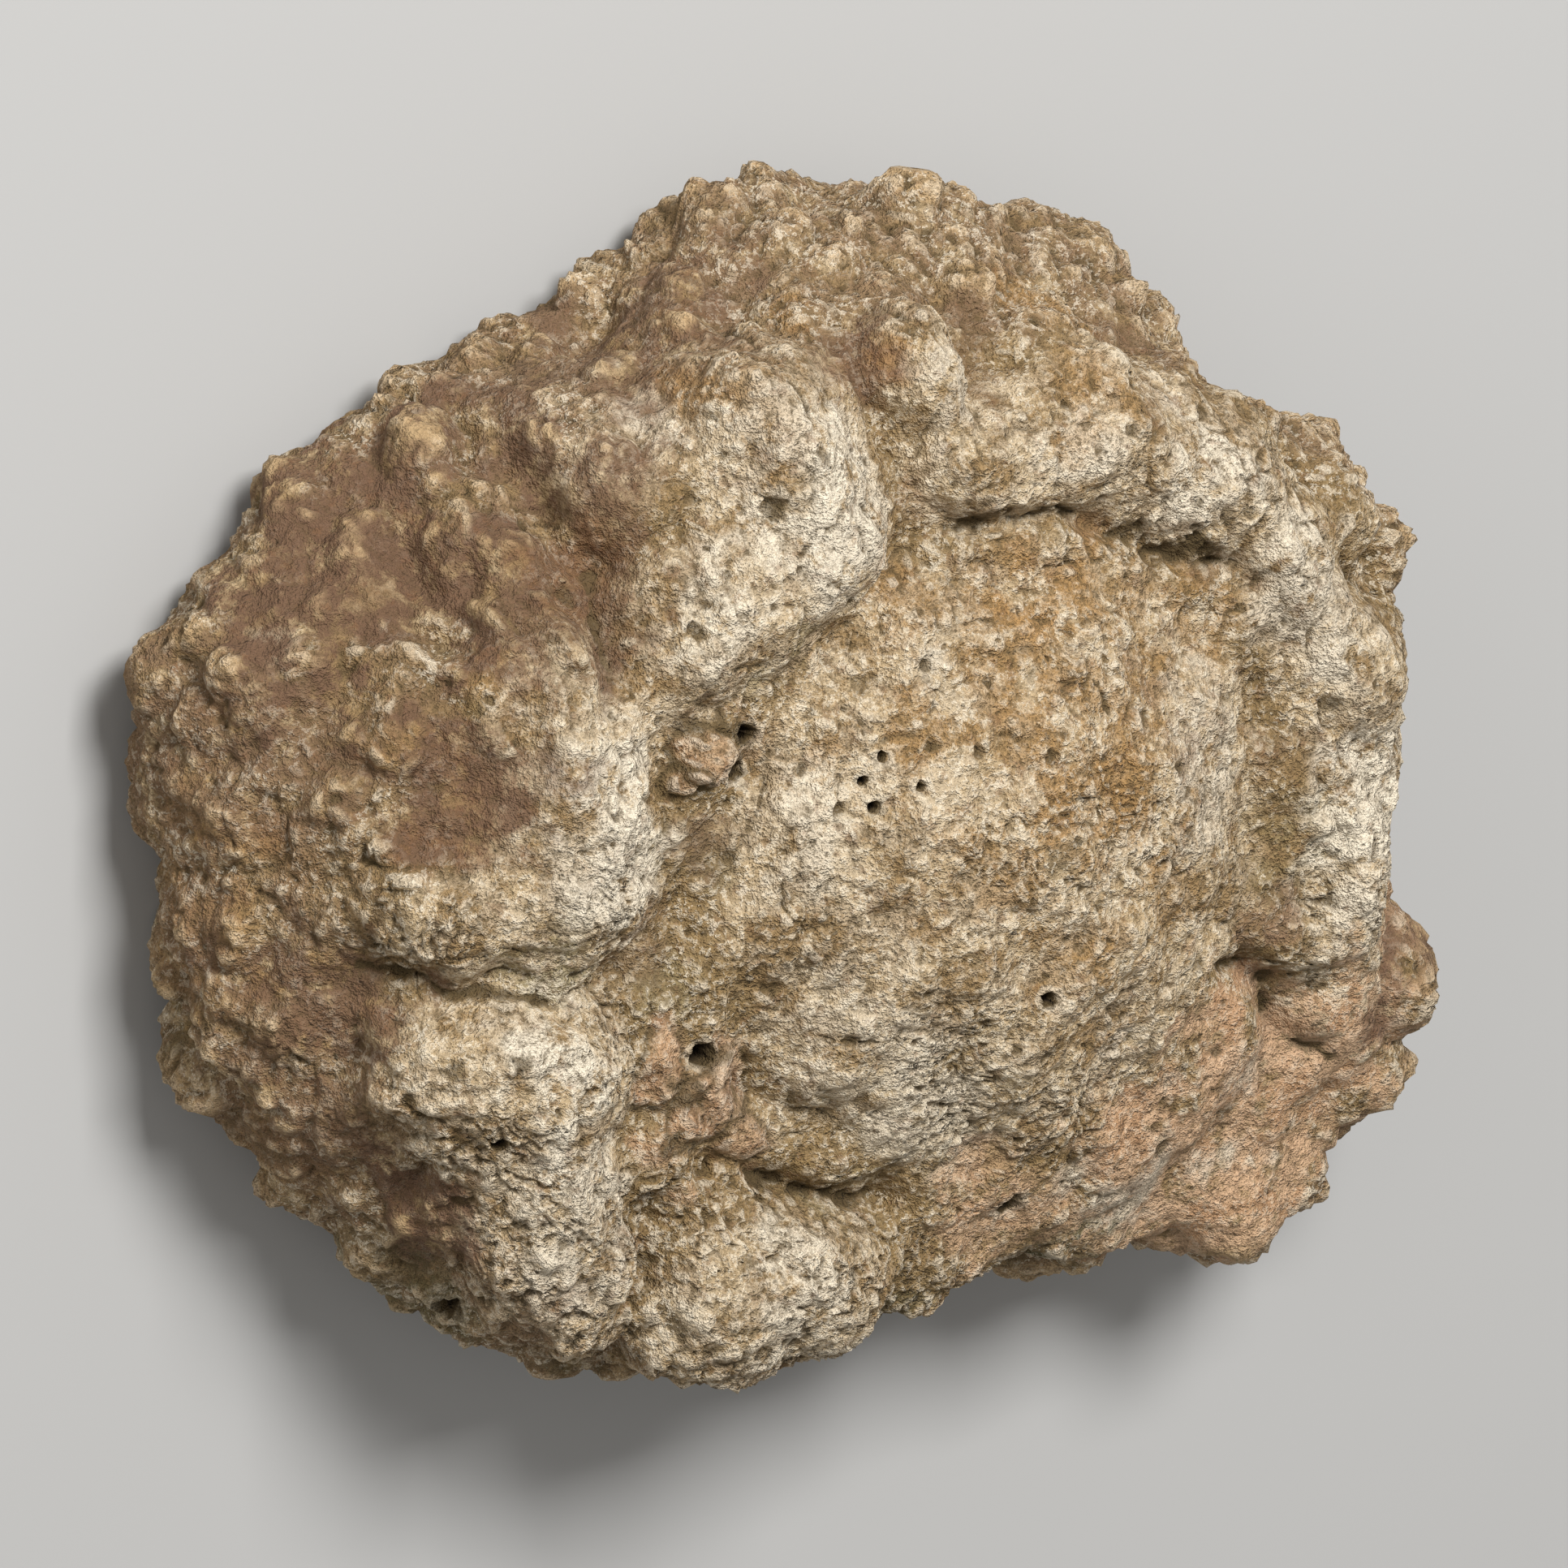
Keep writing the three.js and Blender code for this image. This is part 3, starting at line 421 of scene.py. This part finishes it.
def grooveDepth(x, y):
    depth = np.zeros(len(x))
    for route, half, deep in plate["grooves"]:
        depth += deep * np.exp(-(routeDistance(x, y, route) / half) ** 2)
    return depth


class Sorted:
    # points sorted along x, so that a small round patch of them is found quickly
    def __init__(self, points):
        self.points = points
        self.order = np.argsort(points[:, 0])
        self.x = points[self.order, 0]

    def near(self, place, radius):
        first, last = np.searchsorted(self.x, (place[0] - radius, place[0] + radius))
        found = self.order[first:last]
        away = np.linalg.norm(self.points[found] - np.array(place), axis=1) / radius
        return found[away < 1], away[away < 1]


def noduleList():
    form = plate["nodules"]
    i = np.arange(form["count"])
    height = 1 - 2 * (i + 0.5) / form["count"]
    turn = i * math.pi * (3 - math.sqrt(5))
    ring = np.sqrt(1 - height ** 2)
    seats, normals = bodySurface(shareOut(np.stack([np.cos(turn) * ring, np.sin(turn) * ring, height], 1)))
    found = []
    for k in i:
        if -0.8 < normals[k, 2] < 0.8 and seats[k, 2] > 0.3:
            move = [(jitter(k, axis) - 0.5) * 2 * form["scatter"] for axis in (1, 2, 3)]
            found.append((seats[k] + move, form["radius"] * (0.75 + 0.6 * jitter(k, 4)),
                          form["height"] * (0.5 + jitter(k, 5))))
    return found


def swellHeight(points):
    x, y, z = points.T
    pace = plate["swell"]["pace"]
    return plate["swell"]["height"] * (
        np.sin(pace * x + 1.3 * np.sin(0.7 * y + 0.5 * z))
        + np.sin(1.1 * pace * y + 1.7 * np.sin(0.6 * z + 0.8 * x))
        + np.sin(1.3 * pace * z + 1.1 * np.sin(0.9 * x - 0.4 * y)))


def poreList():
    # pores scattered over the outer face in a loose sunflower pattern
    form = plate["pores"]
    found = []
    for i in range(form["count"]):
        away = form["reach"] * math.sqrt((i + 0.5) / form["count"])
        turn = i * math.pi * (3 - math.sqrt(5))
        x = plate["centre"][0] + away * math.cos(turn) + (jitter(i, 6) - 0.5) * form["scatter"]
        y = plate["centre"][1] + away * math.sin(turn) + (jitter(i, 7) - 0.5) * form["scatter"]
        size = jitter(i, 8) ** 2
        radius = form["radius"][0] + (form["radius"][1] - form["radius"][0]) * size
        found.append((x, y, radius, form["depth"] * (0.4 + 0.6 * jitter(i, 9))))
    return found


def reliefLayers(points, normals):
    # the main forms, with the masks of the face and the sutures
    wobble = plate["wobble"]
    moved = points.copy()
    for axis in (0, 1):
        moved[:, axis] += wobble["reach"] * layeredNoise(points, wobble["size"], 40 + axis, 2)
    x, y = moved[:, 0], moved[:, 1]
    up = normals[:, 2]
    onFace, nearFace = smoothStep(0.4, 0.8, up), smoothStep(-0.1, 0.4, up)
    onSuture = smoothStep(0.92, 0.6, up) * smoothStep(-0.9, -0.5, up)
    figures = figureHeight(x, y, plate["figures"])
    filled = figureHeight(x, y, {**plate["figures"], **plate["fillings"]})
    form = onFace * filled - nearFace * grooveDepth(x, y) + swellHeight(points)
    patch = Sorted(points)
    for place, radius, deep in plate["hollows"]:
        away = np.linalg.norm(points - np.array(place), axis=1) / radius
        form -= deep * np.exp(-1.6 * away ** 2)
    for place, radius, height in plate["knobs"]:
        found, away = patch.near(place, radius)
        form[found] += height * (1 - away ** 2)
    lumpy = np.zeros(len(points))
    for place, radius, height in noduleList():
        found, away = patch.near(place, radius)
        lumpy[found] = np.maximum(lumpy[found], height * (1 - away ** 2))
    form += onSuture * lumpy
    return form, figures, onFace, onSuture, moved


def grainHeight(bent):
    # crumbly grain in three sizes
    grain = plate["grain"]
    crumbs = np.zeros(len(bent))
    for scale, share, salt in ((1, 1.0, 11), (0.55, 0.6, 12), (0.3, 0.4, 13)):
        crumbs += share * (np.abs(softNoise(bent, grain["size"] * scale, salt)) - 0.25)
    return grain["height"] * crumbs


def creviceDepth(formed, bent):
    # short ragged crevices, in patches
    crevices = plate["crevices"]
    line = smoothStep(crevices["width"], 0.0, np.abs(softNoise(bent, crevices["size"], 97)))
    return crevices["depth"] * line * smoothStep(0.0, 0.4, softNoise(formed, crevices["patch"], 98))


def flakeHeight(formed, onFace):
    # thin flakes one over another, each with a steep lower edge
    flakes = plate["flakes"]
    wave = (formed @ np.array(flakes["across"])) / flakes["spacing"]
    wave += flakes["waver"] * layeredNoise(formed, 2.0, 23, 4, 0.6)
    tread = wave - np.floor(wave)
    step = flakes["height"] * (0.5 - tread) * smoothStep(1.0, 0.86, tread)
    where = smoothStep(-0.3, 0.5, softNoise(formed, flakes["patch"], 31) - 0.04 * formed[:, 1]) * onFace
    return step * where


def granuleHeight(formed, onSuture):
    # round granules in two sizes, full height on the sutures
    granules = plate["granules"]
    pebble = np.zeros(len(formed))
    for size, height, salt in ((granules["size"], granules["height"], 51),
                               (granules["small"], granules["height"] * 0.5, 61)):
        pebble += height * (0.55 - cellNoise(formed, size, salt))
    return pebble * (granules["onFace"] + (1 - granules["onFace"]) * onSuture)


def fineRelief(formed, onFace, onSuture, soft):
    lumps, bend, smoothing = plate["lumps"], plate["bend"], plate["smoothing"]
    bent = formed + bend["reach"] * np.stack([softNoise(formed, bend["size"], 90 + k) for k in range(3)], 1)
    fine = lumps["height"] * layeredNoise(formed, lumps["size"], 3, 2) * (1 - smoothing["lumps"] * soft)
    fine += grainHeight(bent) * (1 - smoothing["grain"] * soft)
    fine -= creviceDepth(formed, bent) * (1 - soft)
    fine += flakeHeight(formed, onFace) * (1 - soft)
    fine += granuleHeight(formed, onSuture) * (1 - smoothing["granules"] * soft)
    return fine


def nearPlace(points, place, radius, patch, plan):
    # on the outer face a place counts by its plan alone
    if place[2] < plate["faceFrom"]:
        return patch.near(place, radius)
    found, away = plan.near((place[0], place[1], 0), radius)
    keep = points[found, 2] > plate["faceFrom"]
    return found[keep], away[keep]


def placedMask(points, patchList, warp, patch, plan):
    mask = np.zeros(len(points), np.float32)
    room = 1.5                    # times the radius, for the ragged edge
    for place, radius, strength in patchList:
        if radius < plate["smallPatch"]:
            found, away = nearPlace(points, place, radius * room, patch, plan)
        else:
            found, away = patch.near(place, radius * room)
        edge = away * room + 0.55 * warp[found]
        mask[found] = np.maximum(mask[found], strength * smoothStep(1.15, 0.5, edge))
    return mask


def sinkPores(points, fine, hole, plan, ragged):
    # scattered pores and the wider pits, all on the outer face, their floors darkened with painted shade
    wide = [(x, y, radius, plate["pitDepth"]) for (x, y), radius in plate["pits"]]
    room = 1.5
    for x, y, radius, depth in poreList() + wide:
        found, away = plan.near((x, y, 0), radius * room)
        keep = points[found, 2] > plate["faceFrom"]
        found, away = found[keep], away[keep] * room + 0.5 * ragged[found[keep]]
        floorOf = smoothStep(1.0, 0.5, away)
        fine[found] += depth * (0.25 * np.exp(-((away - 1.15) / 0.2) ** 2) - floorOf)
        hole[found] = np.maximum(hole[found], 0.4 * floorOf * min(1, depth / plate["pitDepth"]))


def sinkCracks(points, moved, fine, hole, ragged):
    x, y = moved[:, 0], moved[:, 1]
    onTop = smoothStep(*plate["rimFade"], points[:, 2])
    for route, half, deep in plate["cracks"]:
        away = np.maximum(routeDistance(x, y, route) / half + 1.3 * ragged, 0)
        fine -= deep * (np.exp(-away ** 2) * onTop)
        # painted shade along each crack, stronger for deeper cracks
        np.maximum(hole, min(0.6, 0.3 + deep) * np.exp(-(away / 1.1) ** 2) * onTop, out=hole)


def addRidgelets(points, moved, fine):
    onTop = smoothStep(*plate["rimFade"], points[:, 2])
    for route, half, height in plate["ridgelets"]:
        away = routeDistance(moved[:, 0], moved[:, 1], route) / half
        fine += height * np.clip(1 - away ** 2, 0, None) * onTop


def sinkOpenings(points, fine, hole, patch, plan, ragged):
    room = 2.4
    for place, radius, depth in plate["openings"]:
        found, away = nearPlace(points, place, radius * room, patch, plan)
        away = away * room + min(0.45, 0.9 * radius) * ragged[found]
        fine[found] -= depth * smoothStep(1.25, 0.7, away)
        # painted shade inside each opening, darkest at its middle
        hole[found] = np.maximum(hole[found], smoothStep(1.45, 0.95, away))


def addClods(points, fine, hole, patch, plan, warp, ragged):
    clay = np.zeros(len(points), np.float32)
    room = 1.6
    for place, radius, height in plate["clods"]:
        found, away = nearPlace(points, place, radius * room, patch, plan)
        edge = away * room + 0.45 * warp[found]
        lump = smoothStep(1.15, 0.8, edge)
        fine[found] += height * lump * (0.85 + 0.4 * warp[found] + 0.35 * ragged[found])
        clay[found] = np.maximum(clay[found], lump)
        # a ring of painted shade round each clod's edge, where its overhang would shade
        rim = smoothStep(0.95, 1.1, edge) * smoothStep(1.35, 1.2, edge)
        hole[found] = np.maximum(hole[found], 0.45 * rim)
    return clay


def blurred(values, ends, rounds):
    # evens a value out over neighbouring points
    first, second = ends
    count = np.bincount(first, minlength=len(values)) + np.bincount(second, minlength=len(values))
    for turn in range(rounds):
        around = np.bincount(first, values[second], len(values))
        around += np.bincount(second, values[first], len(values))
        values = (values + around / count) / 2
    return values


def ballMesh():
    # an even ball to press into shape, its points, and the two ends of each edge
    ball = bmesh.new()
    bmesh.ops.create_icosphere(ball, subdivisions=9, radius=1.0)
    mesh = bpy.data.meshes.new("fossilBone")
    ball.to_mesh(mesh)
    ball.free()
    unit = np.empty(len(mesh.vertices) * 3)
    mesh.vertices.foreach_get("co", unit)
    ends = np.empty(len(mesh.edges) * 2, np.int32)
    mesh.edges.foreach_get("vertices", ends)
    return mesh, unit.reshape(-1, 3), ends.reshape(-1, 2).T


def insideBox(placed):
    # inside the solids' own box, with the sole on the floor
    low = np.array(cadBox[0]) / mm + plate["boxMargin"]
    high = np.array(cadBox[1]) / mm - plate["boxMargin"]
    low[2] = 0
    return np.clip(placed, low, high)


def shapeMasks(form, fine, figures, onFace, ends):
    # what the shape alone says about colour: hollows and valleys for darkening that is partly painted
    # shade, proud granules, and crests
    rounds = plate["rounds"]
    whole = form + fine
    return {
        "cavity": blurred(fine, ends, rounds["cavity"]) - fine,
        "proud": whole - blurred(whole, ends, rounds["proud"]),
        "valley": blurred(form, ends, rounds["valley"]) - form,
        "crest": smoothStep(0.3, 1.8, figures) * onFace,
    }


def plateMesh():
    mesh, unit, ends = ballMesh()
    points, normals = bodySurface(shareOut(unit))
    form, figures, onFace, onSuture, moved = reliefLayers(points, normals)
    formed = points + normals * form[:, None]
    print("main forms laid out")

    patch, plan = Sorted(formed), Sorted(formed * (1, 1, 0))
    warp = layeredNoise(formed, 1.7, 71, 3, 0.6)
    ragged = layeredNoise(formed, 0.9, 81, 3, 0.6)
    masks = {name: placedMask(formed, places, warp, patch, plan)
             for name, places in plate["patches"].items()}
    smoothing = plate["smoothing"]
    soft = np.maximum(masks["soil"] * smoothing["soil"], masks["earth"] * smoothing["earth"])
    fine = fineRelief(formed, onFace, onSuture, np.clip(soft, 0, 1))
    # painted shade for holes, pits, cracks and clod edges
    hole = np.zeros(len(points))
    sinkPores(formed, fine, hole, plan, ragged)
    sinkCracks(formed, moved, fine, hole, ragged)
    clay = addClods(formed, fine, hole, patch, plan, warp, ragged)
    addRidgelets(formed, moved, fine)
    sinkOpenings(formed, fine, hole, patch, plan, ragged)
    placed = insideBox(formed + normals * fine[:, None])
    mesh.vertices.foreach_set("co", (placed * mm).ravel())
    print("fine relief laid out,", len(mesh.polygons), "triangles")

    masks["earth"] = np.maximum(masks["earth"], 0.6 * clay)
    masks["rust"] = np.maximum(masks["rust"], 0.75 * clay)
    masks.update(shapeMasks(form, fine, figures, onFace, ends), suture=onSuture, hole=hole)
    for name, values in masks.items():
        mesh.attributes.new(name, "FLOAT", "POINT").data.foreach_set("value", values.astype(np.float32))
    mesh.update()
    print("colour masks laid out:", ", ".join(masks))
    return mesh


def thinned(mesh):
    # keeps the triangles where the surface turns most
    rough = bpy.data.objects.new("roughPlate", mesh)
    bpy.context.scene.collection.objects.link(rough)
    fewer = rough.modifiers.new("fewer", "DECIMATE")
    fewer.ratio = min(1, plate["triangles"] / len(mesh.polygons))
    graph = bpy.context.evaluated_depsgraph_get()
    result = bpy.data.meshes.new_from_object(rough.evaluated_get(graph))
    bpy.data.objects.remove(rough)
    result.name = "fossilBone"
    print("thinned to", len(result.polygons), "triangles")
    return result


finish = {
    "cream": (0.500, 0.372, 0.218),
    "tan": (0.312, 0.204, 0.096),
    "chalk": (0.800, 0.705, 0.550),
    # furrow: tan-brown of the furrows, darker partly as painted shade
    "furrow": (0.262, 0.172, 0.074),
    "ochre": (0.405, 0.232, 0.088),
    "rust": (0.185, 0.092, 0.044),
    "grey": (0.625, 0.540, 0.415),
    "soil": (0.148, 0.084, 0.050),
    "earth": (0.63, 0.41, 0.25),
    "clay": (0.48, 0.285, 0.155),
    # painted shade tone, greenish-brown
    "oliveShade": (0.27, 0.23, 0.125),
    # painted shade tone, dark greenish, for the lower walls
    "greenShade": (0.09, 0.09, 0.04),
    "suture": (0.275, 0.178, 0.100),
    "pebble": (0.50, 0.345, 0.185),
    # shade: painted shade for hollows, cracks and holes, also used for dark random dots
    "shade": (0.10, 0.068, 0.03),
    # deep: near-black painted shade at the bottom of holes and cracks
    "deep": (0.02, 0.013, 0.008),
    "roughness": 0.95,
    "gloss": 0.2,
    "bump": 0.34,                 # mm
    "cellSize": 0.42,             # mm
    # noises: size in mm, detail, roughness
    "noises": {
        "fine": (0.34, 3, 0.80),
        "speck": (0.8, 4, 0.7),
        "spread": (2.4, 6, 0.70),
        "crumbs": (0.13, 1, 0.75),
        "blotch": (1.5, 6, 0.72),
    },
}


class Nodes:
    # short calls for the nodes of the bone's material
    def __init__(self, material):
        self.tree = material.node_tree
        self.nodes = self.tree.nodes
        self.bsdf = self.nodes["Principled BSDF"]
        self.place = self.add("ShaderNodeTexCoord").outputs["Object"]

    def add(self, kind, **values):
        node = self.nodes.new(kind)
        for name, value in values.items():
            setattr(node, name, value)
        return node

    def link(self, source, target):
        self.tree.links.new(source, target)

    def mask(self, name):
        return self.add("ShaderNodeAttribute", attribute_name=name).outputs["Fac"]

    def noise(self, size, detail, roughness):
        node = self.add("ShaderNodeTexNoise")
        self.link(self.place, node.inputs["Vector"])
        node.inputs["Scale"].default_value = 1 / (size * mm)
        node.inputs["Detail"].default_value = detail
        node.inputs["Roughness"].default_value = roughness
        return node.outputs["Fac"]

    def cells(self, size):
        seeds = self.add("ShaderNodeTexVoronoi")
        self.link(self.place, seeds.inputs["Vector"])
        seeds.inputs["Scale"].default_value = 1 / (size * mm)
        return seeds.outputs["Distance"]

    def ramp(self, value, low, high):
        node = self.add("ShaderNodeMapRange", interpolation_type="SMOOTHSTEP")
        self.link(value, node.inputs["Value"])
        node.inputs["From Min"].default_value = low
        node.inputs["From Max"].default_value = high
        return node.outputs["Result"]

    def maths(self, operation, first, second):
        node = self.add("ShaderNodeMath", operation=operation)
        for slot, value in enumerate((first, second)):
            if isinstance(value, (int, float)):
                node.inputs[slot].default_value = value
            else:
                self.link(value, node.inputs[slot])
        return node.outputs[0]

    def times(self, first, *others):
        for other in others:
            first = self.maths("MULTIPLY", first, other)
        return first

    def mix(self, amount, first, second):
        node = self.add("ShaderNodeMix", data_type="RGBA")
        for slot, value in ((0, amount), (6, first), (7, second)):
            if isinstance(value, tuple):
                node.inputs[slot].default_value = (*value, 1)
            elif isinstance(value, (int, float)):
                node.inputs[slot].default_value = value
            else:
                self.link(value, node.inputs[slot])
        return node.outputs[2]

    def lay(self, name, colour, *amounts):
        # lays one colour of the finish over the colour so far
        return self.mix(self.times(*amounts), colour, finish[name])


def cleanBone(n, spread, blotch):
    # cream and tan, darker in the furrows (partly tan-brown bone, partly painted shade), chalky on the
    # crests, brown on the sutures
    crest = n.mask("crest")
    colour = n.mix(n.ramp(spread, 0.45, 0.55), finish["cream"], finish["tan"])
    colour = n.lay("furrow", colour, n.ramp(crest, 0.8, 0.1), n.ramp(blotch, 0.68, 0.48), 0.9)
    crestChalk = n.times(crest, 0.25, n.ramp(blotch, 0.46, 0.54))
    patchChalk = n.times(n.mask("chalk"), n.ramp(blotch, 0.38, 0.50))
    colour = n.lay("chalk", colour, n.maths("MAXIMUM", crestChalk, patchChalk), 0.95)
    return n.lay("suture", colour, n.mask("suture"), n.ramp(blotch, 0.66, 0.40))


def stained(n, colour, bare, spread, blotch):
    # stains and painted shade in a greenish-brown tone, then earth and clay, grey patches and the granules
    # that stand proud
    earth = n.mask("earth")
    colour = n.lay("ochre", colour, n.mask("ochre"), n.ramp(spread, 0.40, 0.52), 0.9)
    colour = n.lay("oliveShade", colour, n.mask("oliveShade"), n.ramp(blotch, 0.60, 0.44), 0.75)
    colour = n.lay("earth", colour, earth, n.ramp(blotch, 0.62, 0.50), 0.9)
    colour = n.lay("clay", colour, earth, n.ramp(spread, 0.50, 0.42))
    colour = n.lay("grey", colour, n.mask("grey"), n.ramp(blotch, 0.36, 0.52), 0.8)
    return n.lay("pebble", colour, n.mask("suture"), bare, 0.85)


def soilAndShade(n, colour, bare, speck, blotch):
    # soil that leaves proud granules bare, rust in spots and patches, painted shade in a dark greenish
    # tone, and valleys darkened with soil colour, partly dirt and partly painted shade
    soil = n.mask("soil")
    covered = n.maths("SUBTRACT", n.ramp(blotch, 0.66, 0.48), n.times(bare, 0.9))
    thin = n.times(n.maths("MINIMUM", soil, 1.0), covered)
    colour = n.lay("soil", colour, n.maths("MAXIMUM", thin, n.ramp(soil, 1.0, 1.5)), 0.95)
    spots = n.times(n.ramp(speck, 0.56, 0.64), 0.5)
    rusty = n.maths("MAXIMUM", spots, n.times(n.mask("rust"), n.ramp(blotch, 0.44, 0.54)))
    colour = n.lay("rust", colour, rusty, 0.85)
    # painted shade in a dark greenish tone on the lower walls
    colour = n.lay("greenShade", colour, n.mask("greenShade"), n.ramp(speck, 0.35, 0.6))
    # valleys darker: partly dirt, partly painted shade
    return n.lay("soil", colour, n.ramp(n.mask("valley"), 0.1, 1.1), 0.7)


def paintedLightAndWear(n, colour, clean, fine, crumbs, spread):
    # painted shade in the small hollows, partly dirt too, and pale tops, partly wear and partly painted
    # highlight; dark and pale dots, all weaker under dirt; then painted shade in the openings, near black
    # in the deepest
    cavity, hole = n.mask("cavity"), n.mask("hole")
    darkness = n.maths("ADD", n.times(clean, 0.4), 0.35)
    colour = n.lay("shade", colour, n.ramp(cavity, 0.0, 0.14), darkness)
    tops = n.times(n.ramp(cavity, -0.02, -0.10), clean, n.ramp(n.mask("suture"), 1.6, 0.4))
    colour = n.lay("chalk", colour, tops, 0.45)
    dots = n.maths("ADD", n.times(clean, n.ramp(spread, 0.38, 0.58), 0.46), 0.18)
    colour = n.lay("shade", colour, n.ramp(fine, 0.47, 0.40), dots)
    colour = n.lay("chalk", colour, n.ramp(fine, 0.525, 0.58), clean, n.ramp(spread, 0.60, 0.42), 0.55)
    colour = n.lay("shade", colour, n.ramp(crumbs, 0.46, 0.36), dots, 0.7)
    colour = n.lay("shade", colour, n.ramp(hole, 0.0, 0.6))
    return n.lay("deep", colour, n.ramp(hole, 0.45, 1.0))


def boneBump(n, fine, crumbs):
    # grain too fine for the mesh, a little weaker under soil
    grain = n.maths("ADD", fine, n.times(crumbs, 0.5))
    grain = n.maths("SUBTRACT", grain, n.times(n.cells(finish["cellSize"]), 0.45))
    underSoil = n.times(n.maths("MINIMUM", n.mask("soil"), 1.0), 0.15)
    bump = n.add("ShaderNodeBump")
    bump.inputs["Distance"].default_value = finish["bump"] * mm
    n.link(n.maths("SUBTRACT", 1.0, underSoil), bump.inputs["Strength"])
    n.link(grain, bump.inputs["Height"])
    return bump.outputs["Normal"]


def fossilBone():
    material = bpy.data.materials.new("fossilBone")
    material.use_nodes = True
    n = Nodes(material)
    fine, speck, spread, crumbs, blotch = (n.noise(*values) for values in finish["noises"].values())
    dirt = n.maths("MAXIMUM", n.times(n.mask("soil"), 0.85), n.times(n.mask("earth"), 0.45))
    clean = n.maths("MAXIMUM", n.maths("SUBTRACT", 1.0, dirt), 0.0)
    bare = n.ramp(n.mask("proud"), 0.04, 0.30)
    colour = cleanBone(n, spread, blotch)
    colour = stained(n, colour, bare, spread, blotch)
    colour = soilAndShade(n, colour, bare, speck, blotch)
    colour = paintedLightAndWear(n, colour, clean, fine, crumbs, spread)
    n.link(colour, n.bsdf.inputs["Base Color"])
    n.link(boneBump(n, fine, crumbs), n.bsdf.inputs["Normal"])
    n.bsdf.inputs["Roughness"].default_value = finish["roughness"]
    n.bsdf.inputs["Specular IOR Level"].default_value = finish["gloss"]
    return material


floorSheet = {"side": 3.0, "colour": (0.40, 0.395, 0.385), "roughness": 0.8}


def floor():
    sheet = bmesh.new()
    bmesh.ops.create_grid(sheet, x_segments=1, y_segments=1, size=floorSheet["side"] / 2)
    mesh = bpy.data.meshes.new("floor")
    sheet.to_mesh(mesh)
    sheet.free()
    material = bpy.data.materials.new("paleFloor")
    material.use_nodes = True
    bsdf = material.node_tree.nodes["Principled BSDF"]
    bsdf.inputs["Base Color"].default_value = (*floorSheet["colour"], 1)
    bsdf.inputs["Roughness"].default_value = floorSheet["roughness"]
    mesh.materials.append(material)
    piece = bpy.data.objects.new("floor", mesh)
    bpy.context.scene.collection.objects.link(piece)


cameraView = {
    "aim": (0, 0, 0),            # mm
    "lean": 35,                  # degrees away from looking straight down
    "towards": 160,              # heading that the camera leans to
    "distance": 322,             # mm
    "frameWidth": 58.5,          # mm seen across the view at the plate
    "plateHeight": 6.5,          # mm nearer than the aim, where that width is measured
    "sensor": 36,                # mm
}


def camera():
    data = bpy.data.cameras.new("camera")
    data.sensor_width = cameraView["sensor"]
    away = cameraView["distance"] - cameraView["plateHeight"]
    data.lens = cameraView["sensor"] * away / cameraView["frameWidth"]
    data.clip_start, data.clip_end = 0.01, 10
    piece = bpy.data.objects.new("camera", data)
    heading = math.radians(cameraView["towards"])
    axis = Vector((-math.sin(heading), math.cos(heading), 0))
    turn = Matrix.Rotation(math.radians(cameraView["lean"]), 4, axis)
    aim = Matrix.Translation(Vector(cameraView["aim"]) * mm)
    piece.matrix_world = aim @ turn @ Matrix.Translation((0, 0, cameraView["distance"] * mm))
    bpy.context.scene.collection.objects.link(piece)
    bpy.context.scene.camera = piece
    return turn


# each lamp: direction seen from the camera (right, up, towards it), distance and size in m, power in W
lamps = {
    "key": {"from": (0.40, 0.38, 0.82), "distance": 0.42, "size": 0.14, "power": 2.28},
    "fill": {"from": (-0.50, 0.10, 0.80), "distance": 0.50, "size": 0.40, "power": 0.45},
    "world": {"colour": (1.0, 0.99, 0.97), "strength": 0.36},
}


def lights(turn):
    for name in ("key", "fill"):
        lamp = lamps[name]
        data = bpy.data.lights.new(name, "AREA")
        data.shape = "SQUARE"
        data.size = lamp["size"]
        data.energy = lamp["power"]
        piece = bpy.data.objects.new(name, data)
        direction = (turn.to_3x3() @ Vector(lamp["from"])).normalized()
        piece.location = direction * lamp["distance"]
        piece.rotation_euler = (-direction).to_track_quat("-Z", "Y").to_euler()
        bpy.context.scene.collection.objects.link(piece)
    world = bpy.data.worlds.new("studio")
    world.use_nodes = True
    background = world.node_tree.nodes["Background"]
    background.inputs["Color"].default_value = (*lamps["world"]["colour"], 1)
    background.inputs["Strength"].default_value = lamps["world"]["strength"]
    bpy.context.scene.world = world


turn = camera()
lights(turn)
floor()
bpy.context.scene.view_settings.view_transform = "Standard"
print("stage, camera and lights set")

bone = bpy.data.objects.new("fossilBone", thinned(plateMesh()))
bpy.context.scene.collection.objects.link(bone)
bone.data.polygons.foreach_set("use_smooth", [True] * len(bone.data.polygons))
bone.data.materials.append(fossilBone())
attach(bone, "root")
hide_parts("osteoderm")
print("plate finished")
